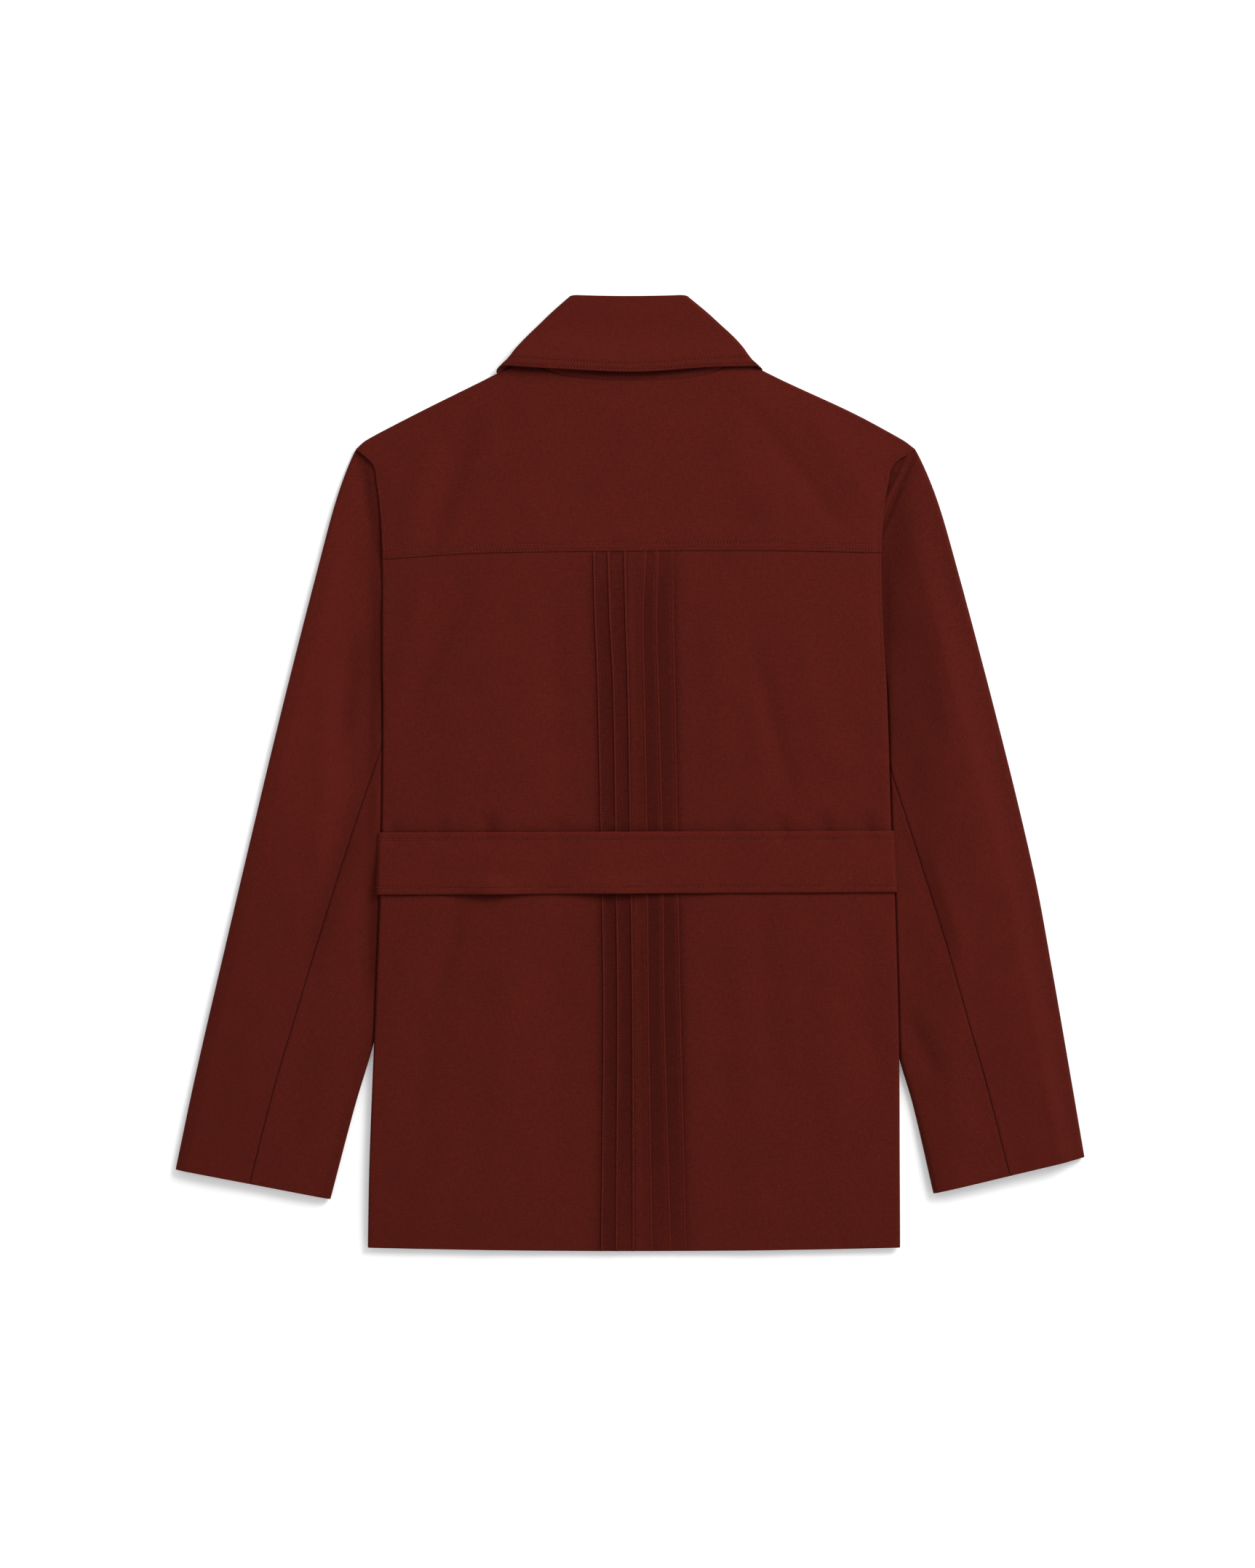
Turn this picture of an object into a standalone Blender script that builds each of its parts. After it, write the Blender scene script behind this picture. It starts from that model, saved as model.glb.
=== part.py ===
"""A safari jacket laid flat on its front, back upwards, as cloth walls on each other.

Metres, +Z up, +Y towards the collar, +X to the right as seen from above. The origin is on the
surface that the jacket lies on, at the middle of its outline. Each piece that is cut and sewn is
one closed solid: a grid of points gives its outer face, and its wall goes inwards from there.
"""

import math
from collections import namedtuple

import bmesh
import bpy
from mathutils import Vector

# Cloth walls
CLOTH = 0.0011
BELT_CLOTH = 0.0018
LEAF_CLOTH = 0.0014
STAND_CLOTH = 0.0013
SEAM_GAP = 0.0003
LAYER_GAP = 0.0004

# Heights of the layers above the surface
BACK_TOP = 0.0061
SIDE_RISE = 0.0009
SIDE_RISE_START = 0.050
SIDE_RISE_RUN = 0.070
SIDE_RISE_LOW = -0.440
SIDE_RISE_HIGH = 0.290
SIDE_RISE_FADE = 0.090
FRONT_OVER_SLEEVE = 0.0044
FRONT_RAMP_START = 0.022
FRONT_RAMP_RUN = 0.045
FRONT_OVER_COLLAR = 0.0021
COLLAR_RAMP_Y = 0.222
COLLAR_RAMP_RUN = 0.049
LAP_RAMP_RUN = 0.020
COLLAR_LOFT = 0.0079
SLEEVE_LOFT_HEAD = 0.0036
SLEEVE_LOFT_INNER = 0.0040
SLEEVE_LOFT_OUTER = 0.0054
SLEEVE_FULL_TO = 0.62
SLEEVE_FULL_RUN = 0.30
SLEEVE_HEAD_RUN = 0.25

# Edges and seams
CENTRE_X = 0.0024
EDGE_TURN = 0.004
ARMHOLE_TURN = 0.0006
TIP_TURN = 0.0010
TURN_RUN = 0.030
SLEEVE_ROLL = 0.005
YOKE_LAP = 0.008
FRONT_LAP = 0.018
FRONT_INSET = 0.0024
SHOULDER_INSET = 0.0028
ARMHOLE_INSET = 0.0016
NECK_CLEAR = 0.0005
FRONT_NECK_CLEAR = 0.0025
STAND_CLEAR = 0.0010
STAND_FOLD_INSET = 0.0024
UNDERARM_Y = 0.0845
FRONT_SEAM_SHARE = 0.80

# Neck and collar
NECK_HALF_WIDTH = 0.0826
NECK_POINT_Y = 0.3528
BACK_NECK_DEPTH = 0.0220
FRONT_NECK_DEPTH = 0.0544
STAND_END_DEGREES = 86
NECK_ROUNDNESS = 2.6
ROLL_LEFT = Vector((-0.0492, 0.4020))
ROLL_RIGHT = Vector((0.0470, 0.4020))
ROLL_DIP = 0.0008
FRONT_ROLL_REACH = 0.0075
FRONT_ROLL_Y = 0.3443
COLLAR_POINT_REACH = 0.0632
COLLAR_POINT_Y = 0.2831

# Half belt
BELT_PAST_EDGE = 0.0023
BELT_HEIGHT_ENDS = namedtuple("BeltEnds", "top_left top_right low_left low_right")(
    -0.0492, -0.0477, -0.1027, -0.1006
)
BELT_OVER_TUCKS = 0.0022
TUCK_BAND_X = 0.008
TUCK_BAND_HALF = 0.045

TUCK_HALF_WALL = 0.0011
TUCK_MARGIN = 0.003

CLOTH_COLOUR = (0.0887, 0.0116, 0.0080, 1.0)
CLOTH_ROUGHNESS = 0.85

# The body's outline seen from above, from the hem up to the shoulder tips
BodyEdge = namedtuple("BodyEdge", "y left right")
BODY_EDGES = [
    BodyEdge(-0.3990, -0.2198, 0.2266),
    BodyEdge(-0.3284, -0.2189, 0.2259),
    BodyEdge(-0.2305, -0.2152, 0.2253),
    BodyEdge(-0.1033, -0.2104, 0.2226),
    BodyEdge(-0.0489, -0.2091, 0.2198),
    BodyEdge(0.0630, -0.2080, 0.2162),
    BodyEdge(0.1241, -0.2079, 0.2125),
    BodyEdge(0.1853, -0.2082, 0.2112),
    BodyEdge(0.2220, -0.2104, 0.2136),
    BodyEdge(0.2446, -0.2134, 0.2172),
    BodyEdge(0.2593, -0.2165, 0.2216),
    BodyEdge(0.2724, -0.2305, 0.2400),
]
HEM_HALF_WIDTH = 0.2250
HEM_SAG = 0.0030
HEM_SAG_RUN = 0.130
SEAM_BEND_RUN = 0.150

# Shoulder lines from the tips to the neck points
ShoulderEdge = namedtuple("ShoulderEdge", "y left right")
SHOULDERS = [
    ShoulderEdge(0.2724, -0.2305, 0.2400),
    ShoulderEdge(0.2807, -0.2208, 0.2287),
    ShoulderEdge(0.3027, -0.1792, 0.1871),
    ShoulderEdge(0.3320, -0.1205, 0.1235),
    ShoulderEdge(NECK_POINT_Y, CENTRE_X - NECK_HALF_WIDTH, CENTRE_X + NECK_HALF_WIDTH),
]

SeamPoint = namedtuple("SeamPoint", "x y")
YOKE_SEAM = [
    SeamPoint(-0.2082, 0.1795),
    SeamPoint(-0.1214, 0.1847),
    SeamPoint(0.0208, 0.1867),
    SeamPoint(0.1049, 0.1869),
    SeamPoint(0.2112, 0.1850),
]
YOKE_SEAM_MIDDLE = 0.1865

LEAF_EDGE = [
    SeamPoint(-0.1113, 0.3400),
    SeamPoint(-0.0660, 0.3384),
    SeamPoint(0.0055, 0.3364),
    SeamPoint(0.0667, 0.3398),
    SeamPoint(0.1113, 0.3406),
]

# The folded edge of each stitched tuck, at five heights of the back
Tuck = namedtuple("Tuck", "leans yoke chest waist seat hem")
TUCKS = [
    Tuck(-1, -0.0316, -0.0272, -0.0238, -0.0220, -0.0236),
    Tuck(-1, -0.0194, -0.0144, -0.0116, -0.0100, -0.0116),
    Tuck(-1, -0.0053, -0.0023, 0.0002, 0.0021, 0.0023),
    Tuck(1, 0.0139, 0.0125, 0.0144, 0.0158, 0.0187),
    Tuck(1, 0.0242, 0.0242, 0.0275, 0.0287, 0.0342),
    Tuck(1, 0.0381, 0.0379, 0.0407, 0.0423, 0.0475),
]
TUCK_DROPS = (0.0, 0.116, 0.261, 0.388, 0.588)

# Rows of the back panel below the yoke seam, with how high the tucks stand and how far they lean
BackRow = namedtuple("BackRow", "drop tuck_rise tuck_lean")
BACK_ROWS = [
    BackRow(-0.008, 0.0002, 0.0034),
    BackRow(0.0006, 0.0002, 0.0034),
    BackRow(0.008, 0.0022, 0.0030),
    BackRow(0.035, 0.0030, 0.0024),
    BackRow(0.116, 0.0034, 0.0021),
    BackRow(0.215, 0.0034, 0.0021),
    BackRow(0.228, 0.0019, 0.0027),
    BackRow(0.296, 0.0019, 0.0027),
    BackRow(0.309, 0.0032, 0.0022),
    BackRow(0.388, 0.0034, 0.0021),
    BackRow(0.480, 0.0033, 0.0021),
    BackRow(0.5855, 0.0028, 0.0024),
]

# Each sleeve's outline seen from above: its outer fold, its inner fold, and its head under the body
Sleeve = namedtuple("Sleeve", "side outer inner head elbow_at_head elbow_at_cuff")
SLEEVE_LEFT = Sleeve(
    side=-1,
    outer=[
        Vector((-0.2315, 0.2710)),
        Vector((-0.2458, 0.2342)),
        Vector((-0.2593, 0.1853)),
        Vector((-0.2966, 0.0385)),
        Vector((-0.3431, -0.1572)),
        Vector((-0.3657, -0.2550)),
        Vector((-0.3822, -0.3333)),
    ],
    inner=[
        Vector((-0.1321, 0.0966)),
        Vector((-0.2165, -0.2305)),
        Vector((-0.2311, -0.2794)),
        Vector((-0.2519, -0.3583)),
    ],
    head=[
        Vector((-0.2315, 0.2710)),
        Vector((-0.2100, 0.2570)),
        Vector((-0.1950, 0.2281)),
        Vector((-0.1718, 0.1731)),
        Vector((-0.1321, 0.0966)),
    ],
    elbow_at_head=0.68,
    elbow_at_cuff=0.48,
)
SLEEVE_RIGHT = Sleeve(
    side=1,
    outer=[
        Vector((0.2409, 0.2710)),
        Vector((0.2568, 0.2342)),
        Vector((0.2715, 0.1853)),
        Vector((0.3100, 0.0385)),
        Vector((0.3528, -0.1572)),
        Vector((0.3706, -0.2550)),
        Vector((0.3822, -0.3229)),
    ],
    inner=[
        Vector((0.1419, 0.0966)),
        Vector((0.2263, -0.2397)),
        Vector((0.2379, -0.2794)),
        Vector((0.2550, -0.3534)),
    ],
    head=[
        Vector((0.2409, 0.2710)),
        Vector((0.2152, 0.2570)),
        Vector((0.2018, 0.2281)),
        Vector((0.1798, 0.1731)),
        Vector((0.1419, 0.0966)),
    ],
    elbow_at_head=0.72,
    elbow_at_cuff=0.50,
)
SLEEVE_ROWS = (0.0, 0.03, 0.08, 0.15, 0.25, 0.36, 0.48, 0.6, 0.72, 0.84, 0.93, 1.0)

# Heights of the rows of the fronts, from the hem to the neck points
FRONT_ROWS = (
    -0.3985, -0.340, -0.280, -0.230, -0.170, -0.110, -0.050, 0.010, 0.050, 0.083,
    0.0975, 0.125, 0.173, 0.205, 0.232, 0.252, 0.266, 0.2835, 0.2975, 0.2995, 0.310, 0.330, 0.347,
)
FRONT_COLUMNS = (0.0, 0.085, 0.17, 0.22, 0.35, 0.5, 0.65, 0.8, 0.92, 1.0)

NECK_STEPS = (-1.0, -0.95, -0.8, -0.55, -0.25, 0.0, 0.25, 0.55, 0.8, 0.95, 1.0)
SHOULDER_STEPS = (0.0, 0.03, 0.12, 0.3, 0.5, 0.7, 0.85)
EDGE_STEPS = (0.0, 0.0006, 0.0018, EDGE_TURN)


def smooth(share):
    """A share held between 0 and 1 and eased at both ends."""
    held = min(max(share, 0.0), 1.0)
    return held * held * (3 - 2 * held)


def mix(a, b, share):
    return a + (b - a) * share


def eased_through(knots, values, at):
    """The value at a place on a smooth curve through values at rising knots."""
    at = min(max(at, knots[0]), knots[-1])
    last = len(knots) - 1
    low = max(k for k in range(last) if knots[k] <= at)

    def slope(k):
        before, after = max(k - 1, 0), min(k + 1, last)
        return (values[after] - values[before]) / (knots[after] - knots[before])

    run = knots[low + 1] - knots[low]
    s = (at - knots[low]) / run
    start = values[low] * ((1 + 2 * s) * (1 - s) ** 2) + slope(low) * (run * s * (1 - s) ** 2)
    end = values[low + 1] * (s * s * (3 - 2 * s)) - slope(low + 1) * (run * s * s * (1 - s))
    return start + end


def along(points, share):
    """The point at a share of the length of a smooth curve through the points."""
    knots = [0.0]
    for before, after in zip(points, points[1:]):
        knots.append(knots[-1] + (after - before).length)
    return eased_through(knots, points, share * knots[-1])


def column(rows, knot, name, at):
    """A column of a table, read smoothly against another column."""
    return eased_through([getattr(r, knot) for r in rows], [getattr(r, name) for r in rows], at)


def side_name(side):
    return "left" if side < 0 else "right"


def body_x(y, side):
    return column(BODY_EDGES, "y", side_name(side), y)


def shoulder_x(y, side):
    return column(SHOULDERS, "y", side_name(side), y)


def yoke_seam_y(x):
    return column(YOKE_SEAM, "x", "y", x)


def back_top(x, y):
    """Height of the back's upper face: a little higher at the sides, where the sleeves lie under it."""
    aside = smooth((abs(x - CENTRE_X) - SIDE_RISE_START) / SIDE_RISE_RUN)
    aside *= smooth((y - SIDE_RISE_LOW) / SIDE_RISE_FADE) * smooth((SIDE_RISE_HIGH - y) / SIDE_RISE_FADE)
    return BACK_TOP + SIDE_RISE * aside


def front_low(x, y, sleeve):
    """Height of a front's lower face: on the surface, or over the sleeve or the collar's points."""
    underarm, way_out = sleeve.inner[0], sleeve.inner[1]
    run = way_out - underarm
    across = Vector((-run.y, run.x)).normalized() * -sleeve.side
    inside = (Vector((x, y)) - underarm).dot(across)
    over_sleeve = 1 - smooth((inside - FRONT_RAMP_START) / FRONT_RAMP_RUN)
    over_sleeve *= 1 - smooth((y - underarm.y) / FRONT_RAMP_RUN)
    over_collar = smooth((y - COLLAR_RAMP_Y) / COLLAR_RAMP_RUN)
    low = FRONT_OVER_SLEEVE * over_sleeve + FRONT_OVER_COLLAR * over_collar
    if sleeve.side > 0:
        lap_end = CENTRE_X + FRONT_LAP + FRONT_INSET
        low += (CLOTH + LAYER_GAP) * (1 - smooth((x - lap_end) / LAP_RAMP_RUN))
    return low


def edge_drop(distance, depth, turn=EDGE_TURN):
    """How far an edge has turned down, at a distance in from the outline: a quarter of an ellipse."""
    return depth * (1 - math.sqrt(max(1 - (1 - min(distance / turn, 1)) ** 2, 0.0)))


def side_depth(x, y, sleeve):
    """How far the back's side edge turns down: round the front's edge below the underarm."""
    full = back_top(x, y) - front_low(x, y, sleeve) - LAYER_GAP
    return mix(ARMHOLE_TURN, full, smooth((UNDERARM_Y - y) / TURN_RUN))


def clear_scene():
    for thing in list(bpy.data.objects):
        bpy.data.objects.remove(thing, do_unlink=True)


def cloth_material(name):
    material = bpy.data.materials.new(name + "_cloth")
    material.use_nodes = True
    shader = material.node_tree.nodes["Principled BSDF"]
    shader.inputs["Base Color"].default_value = CLOTH_COLOUR
    shader.inputs["Roughness"].default_value = CLOTH_ROUGHNESS
    shader.inputs["Metallic"].default_value = 0.0
    material.diffuse_color = CLOTH_COLOUR
    return material


def new_piece(name, mesh):
    """An object with its own material from a finished bmesh."""
    data = bpy.data.meshes.new(name)
    mesh.to_mesh(data)
    mesh.free()
    data.materials.append(cloth_material(name))
    piece = bpy.data.objects.new(name, data)
    bpy.context.scene.collection.objects.link(piece)
    return piece


def add_grid(mesh, grid, flipped=False):
    """Faces over rows of points. Returns the rows of new vertices."""
    rows = [[mesh.verts.new(point) for point in row] for row in grid]
    for lower, upper in zip(rows, rows[1:]):
        for a, b, c, d in zip(lower, lower[1:], upper[1:], upper):
            mesh.faces.new((d, c, b, a) if flipped else (a, b, c, d))
    return rows


def cloth_sheet(name, grid, wall, flipped=False):
    """A piece whose grid is its outer face, made a wall by Solidify, inwards."""
    mesh = bmesh.new()
    add_grid(mesh, grid, flipped)
    piece = new_piece(name, mesh)
    solidify = piece.modifiers.new("wall", "SOLIDIFY")
    solidify.thickness = wall
    solidify.offset = -1.0
    solidify.use_even_offset = True
    return piece


def cloth_wall(name, outer, inner):
    """A piece between two grids of the same rows and columns, closed round its four edges."""
    mesh = bmesh.new()
    top = add_grid(mesh, outer)
    low = add_grid(mesh, inner, flipped=True)

    def rim(grid):
        last = [row[-1] for row in grid]
        first = [row[0] for row in grid]
        return grid[0] + last[1:] + grid[-1][::-1][1:] + first[::-1][1:-1]

    upper, lower = rim(top), rim(low)
    count = len(upper)
    for k in range(count):
        n = (k + 1) % count
        mesh.faces.new((upper[n], upper[k], lower[k], lower[n]))
    bmesh.ops.recalc_face_normals(mesh, faces=mesh.faces)
    return new_piece(name, mesh)


def yoke_columns():
    """Places across the top of the yoke: left shoulder, neck and right shoulder."""
    left_tip, right_tip = SHOULDERS[0].left, SHOULDERS[0].right
    left_neck, right_neck = SHOULDERS[-1].left, SHOULDERS[-1].right
    left = [mix(left_tip, left_neck, s) for s in SHOULDER_STEPS]
    neck = [CENTRE_X + NECK_HALF_WIDTH * s for s in NECK_STEPS]
    right = [mix(right_tip, right_neck, s) for s in reversed(SHOULDER_STEPS)]
    return left + neck + right


def back_neck_y(x):
    """The back neck seam, a flattened half oval between the neck points."""
    share = min(abs(x - CENTRE_X) / NECK_HALF_WIDTH, 1.0)
    return NECK_POINT_Y - BACK_NECK_DEPTH * (1 - share**NECK_ROUNDNESS) ** (1 / NECK_ROUNDNESS)


def yoke_top_y(x):
    if abs(x - CENTRE_X) <= NECK_HALF_WIDTH:
        return back_neck_y(x) - NECK_CLEAR
    side = -1 if x < CENTRE_X else 1
    low, high = SHOULDERS[0].y, NECK_POINT_Y
    for _ in range(40):
        middle = (low + high) / 2
        outside = (shoulder_x(middle, side) - x) * side > 0
        low, high = (middle, high) if outside else (low, middle)
    return low


def build_yoke():
    """The yoke: from its seam, lapped over the back panel, to the shoulders, where it turns down."""
    left_tip, right_tip = SHOULDERS[0].left, SHOULDERS[0].right
    tip_y = SHOULDERS[0].y
    lap_lift = CLOTH + LAYER_GAP + BACK_ROWS[0].tuck_rise
    body_shares = (0.0, 0.06, 0.2, 0.45, 0.7, 0.88)
    grid = []
    for place in yoke_columns():
        across = (place - left_tip) / (right_tip - left_tip)
        seam_x = mix(body_x(YOKE_SEAM_MIDDLE, -1), body_x(YOKE_SEAM_MIDDLE, 1), across)
        low_y, high_y = yoke_seam_y(seam_x), yoke_top_y(place)
        length = high_y - low_y
        side = -1 if place < CENTRE_X else 1
        sleeve = SLEEVE_LEFT if side < 0 else SLEEVE_RIGHT
        to_neck = smooth((abs(place - CENTRE_X) - NECK_HALF_WIDTH) / TURN_RUN)
        from_tip = smooth(abs(place - (left_tip if side < 0 else right_tip)) / TURN_RUN)
        heights = [low_y + length * s for s in body_shares]
        heights += [high_y - d for d in reversed(EDGE_STEPS)]
        row = []
        for y in heights:
            held = min(y, tip_y)
            x = mix(body_x(held, -1), body_x(held, 1), across)
            top = back_top(x, y)
            depth = mix(TIP_TURN, top - front_low(x, y, sleeve) - LAYER_GAP, from_tip) * to_neck
            lift = lap_lift * (1 - smooth((y - low_y - YOKE_LAP) / LAP_RAMP_RUN))
            row.append((x, y, top + lift - edge_drop(high_y - y, depth)))
        grid.append(row)
    cloth_sheet("back_yoke", grid, CLOTH, flipped=True)


def tuck_crest(tuck, drop):
    """Where a tuck's folded edge runs at a drop below the yoke seam."""
    return eased_through(TUCK_DROPS, tuck[1:], drop)


def tuck_profile(tuck, row):
    """A tuck across the back: from its foot over its folded edge to its foot, left to right."""
    crest = tuck_crest(tuck, row.drop) - tuck.leans * TUCK_HALF_WALL
    root = crest - tuck.leans * row.tuck_lean
    foot, fold = TUCK_HALF_WALL, TUCK_HALF_WALL * 0.85
    return [
        (root - foot, 0.0),
        (crest - fold, row.tuck_rise * (0.8 if tuck.leans < 0 else 1.0)),
        (crest + fold, row.tuck_rise * (1.0 if tuck.leans < 0 else 0.8)),
        (root + foot, 0.0),
    ]


def build_back():
    """The back panel with its six tucks; its side edges turn down round the fronts."""
    plain = (0.25, 0.5, 0.75, 0.97)
    outer, inner = [], []
    for row in BACK_ROWS:
        level = YOKE_SEAM_MIDDLE - row.drop
        left, right = body_x(level, -1), body_x(level, 1)
        profiles = [tuck_profile(tuck, row) for tuck in TUCKS]
        first, last = profiles[0][0][0] - TUCK_MARGIN, profiles[-1][-1][0] + TUCK_MARGIN
        places = [(left + d, 0.0) for d in EDGE_STEPS]
        places += [(mix(left + EDGE_TURN, first, s), 0.0) for s in plain]
        lows = [x for x, _ in places]
        for profile in profiles:
            places += profile
            lows += [mix(profile[0][0], profile[-1][0], k / 3) for k in range(4)]
        rest = [(mix(right - EDGE_TURN, last, s), 0.0) for s in reversed(plain)]
        rest += [(right - d, 0.0) for d in reversed(EDGE_STEPS)]
        places += rest
        lows += [x for x, _ in rest]
        top_row, low_row = [], []
        for (x, rise), low_x in zip(places, lows):
            bend = 1 - smooth(row.drop / SEAM_BEND_RUN)
            y = mix(YOKE_SEAM_MIDDLE, yoke_seam_y(x), bend) - row.drop
            centred = 1 - ((x - CENTRE_X) / HEM_HALF_WIDTH) ** 2
            y -= HEM_SAG * max(centred, 0.0) * smooth(1 - (BACK_ROWS[-1].drop - row.drop) / HEM_SAG_RUN)
            side = -1 if x < CENTRE_X else 1
            sleeve = SLEEVE_LEFT if side < 0 else SLEEVE_RIGHT
            edge = min(x - left, right - x)
            depth = side_depth(x, y, sleeve)
            top = back_top(x, y)
            turned = edge_drop(edge, depth)
            top_row.append((x, y, top + rise - turned))
            under = max(edge_drop(edge, depth - CLOTH), 0.0)
            low_row.append((low_x - side * edge_drop(edge, CLOTH), y, top - CLOTH - under))
        outer.append(top_row)
        inner.append(low_row)
    cloth_wall("back_panel", outer, inner)


def build_belt():
    """The half belt over the back's waist, its ends turned down round the side edges."""
    ends = BELT_HEIGHT_ENDS
    turn = EDGE_TURN + BELT_PAST_EDGE
    steps = [turn * (1 - math.cos(math.radians(a))) for a in (0, 22, 45, 68, 90)]
    plain = (0.12, 0.24, 0.33, 0.38, 0.43, 0.48, 0.54, 0.59, 0.64, 0.70, 0.78, 0.88)
    grid = []
    for share in (0.0, 0.5, 1.0):
        left_y = mix(ends.low_left, ends.top_left, share)
        right_y = mix(ends.low_right, ends.top_right, share)
        middle_y = (left_y + right_y) / 2
        left, right = body_x(middle_y, -1) - BELT_PAST_EDGE, body_x(middle_y, 1) + BELT_PAST_EDGE
        places = [left + d for d in steps] + [mix(left, right, s) for s in plain]
        places += [right - d for d in reversed(steps)]
        row = []
        for x in places:
            y = mix(left_y, right_y, (x - left) / (right - left))
            sleeve = SLEEVE_LEFT if x < CENTRE_X else SLEEVE_RIGHT
            over = 1 - smooth((abs(x - TUCK_BAND_X) - TUCK_BAND_HALF) / TURN_RUN)
            lift = BELT_OVER_TUCKS * over + LAYER_GAP + BELT_CLOTH
            depth = side_depth(x, y, sleeve) + LAYER_GAP + BELT_CLOTH
            edge = min(x - left, right - x)
            row.append((x, y, back_top(x, y) + lift - edge_drop(edge, depth, turn)))
        grid.append(row)
    cloth_sheet("back_belt", grid, BELT_CLOTH)


CollarSection = namedtuple("CollarSection", "roll edge radial")


def fold_slant(low, high):
    """How much further a slanted fold reaches along X than square to itself."""
    return 1 / abs((high - low).normalized().y)


def fold_radial(low, high, angle, side):
    """The way out of the collar's band at an angle round its side fold, 0 being upwards."""
    return Vector((side * fold_slant(low, high) * math.sin(angle), 0.0, math.cos(angle)))


def collar_sections(backs, back_point, front_point, front_shares):
    """Sections round a collar piece: right front, right fold, back, left fold, left front."""
    fold_angles = [math.radians(a) for a in (30, 60, 90, 120, 150, 180)]
    sections = [CollarSection(*back_point(s), Vector((0, 0, 1))) for s in backs]
    for side in (-1, 1):
        roll, edge = back_point(float(side))
        fold = [CollarSection(roll, edge, fold_radial(edge, roll, a, side)) for a in fold_angles]
        fold += [CollarSection(*front_point(side, s), Vector((0, 0, -1))) for s in front_shares]
        sections = fold[::-1] + sections if side < 0 else sections + fold
    return sections


def leaf_back_point(share):
    """The rolled edge and the free edge of the leaf's back half, from -1 at the left to 1."""
    across = (share + 1) / 2
    inset = COLLAR_LOFT / 2 * fold_slant(Vector(LEAF_EDGE[0]), ROLL_LEFT)
    roll = Vector((mix(ROLL_LEFT.x + inset, ROLL_RIGHT.x - inset, across), ROLL_LEFT.y))
    roll.y -= ROLL_DIP * (1 - share * share)
    x = mix(LEAF_EDGE[0].x + inset, LEAF_EDGE[-1].x - inset, across)
    return roll, Vector((x, column(LEAF_EDGE, "x", "y", x)))


def leaf_front_point(side, share):
    roll, edge = leaf_back_point(float(side))
    roll_end = Vector((CENTRE_X + side * FRONT_ROLL_REACH, FRONT_ROLL_Y))
    point = Vector((CENTRE_X + side * COLLAR_POINT_REACH, COLLAR_POINT_Y))
    return roll.lerp(roll_end, share), edge.lerp(point, share)


def roll_radius():
    """Outer radius of the turn from the leaf down to the stand."""
    return (COLLAR_LOFT / 2 - stand_inner_radius()) / 2


def stand_inner_radius():
    return COLLAR_LOFT / 2 - LEAF_CLOTH - 2 * SEAM_GAP - STAND_CLOTH


def leaf_grid(inset):
    """The leaf's face, inset into its wall: free edge, flat leaf and the turn at the rolled edge."""
    centre = Vector((0, 0, COLLAR_LOFT / 2))
    flat, radius = COLLAR_LOFT / 2 - inset, roll_radius() - inset
    turn = [math.radians(a) for a in (0, 45, 90, 135, 180)]
    grid = []
    backs = [-1 + k / 5 for k in range(11)]
    for part in collar_sections(backs, leaf_back_point, leaf_front_point, (0.3, 0.65, 1.0)):
        run = (part.roll - part.edge).normalized().to_3d()
        shoulder = part.roll.to_3d() - run * roll_radius()
        edge = part.edge.to_3d()
        row = [centre + edge.lerp(shoulder, s) + part.radial * flat for s in (0.0, 0.3, 0.65)]
        middle = centre + shoulder + part.radial * (COLLAR_LOFT / 2 - roll_radius())
        row += [middle + part.radial * (radius * math.cos(a)) + run * (radius * math.sin(a)) for a in turn]
        grid.append(row)
    return grid


def build_leaf():
    """The collar leaf: its back half over the yoke, its front halves under the fronts."""
    cloth_wall("collar_leaf", leaf_grid(0.0), leaf_grid(LEAF_CLOTH))


def stand_back_point(share):
    roll, edge = leaf_back_point(share)
    run = (roll - edge).normalized()
    x = CENTRE_X + NECK_HALF_WIDTH * share
    low = Vector((x, back_neck_y(x) + NECK_CLEAR))
    if abs(share) == 1:
        low -= Vector((share, 1.0)) * STAND_FOLD_INSET
    return roll - run * (roll_radius() + STAND_CLEAR), low


def stand_front_point(side, share):
    roll, edge = leaf_front_point(side, share)
    run = (roll - edge).normalized()
    angle = math.radians(STAND_END_DEGREES) * share
    x = CENTRE_X + side * (NECK_HALF_WIDTH - STAND_FOLD_INSET) * math.cos(angle)
    y = NECK_POINT_Y - FRONT_NECK_DEPTH * math.sin(angle) + FRONT_NECK_CLEAR
    return roll - run * (roll_radius() + STAND_CLEAR), Vector((x, y))


def stand_grid(radius):
    centre = Vector((0, 0, COLLAR_LOFT / 2))
    grid = []
    for part in collar_sections(NECK_STEPS, stand_back_point, stand_front_point, (0.2, 0.4, 0.6, 0.8, 1.0)):
        low, high = part.edge.to_3d(), part.roll.to_3d()
        grid.append([centre + low.lerp(high, s) + part.radial * radius for s in (0.0, 0.5, 1.0)])
    return grid


def build_stand():
    """The collar stand: the band from the neck seam up to the leaf, inside it all round."""
    inner = stand_inner_radius()
    cloth_wall("collar_stand", stand_grid(inner + STAND_CLOTH), stand_grid(inner))


def front_outer_x(y, sleeve):
    """A front's outer edge: side edge, then armhole, then shoulder."""
    side = sleeve.side
    underarm_y, tip_y = sleeve.inner[0].y, SHOULDERS[0].y
    if y < underarm_y:
        return body_x(y, side) - side * FRONT_INSET
    if y > tip_y - EDGE_TURN:
        return shoulder_x(y + SHOULDER_INSET, side)
    head = sleeve.head[::-1]
    knots, places = [p.y for p in head], [p.x for p in head]
    return eased_through(knots, places, y) - side * ARMHOLE_INSET


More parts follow.
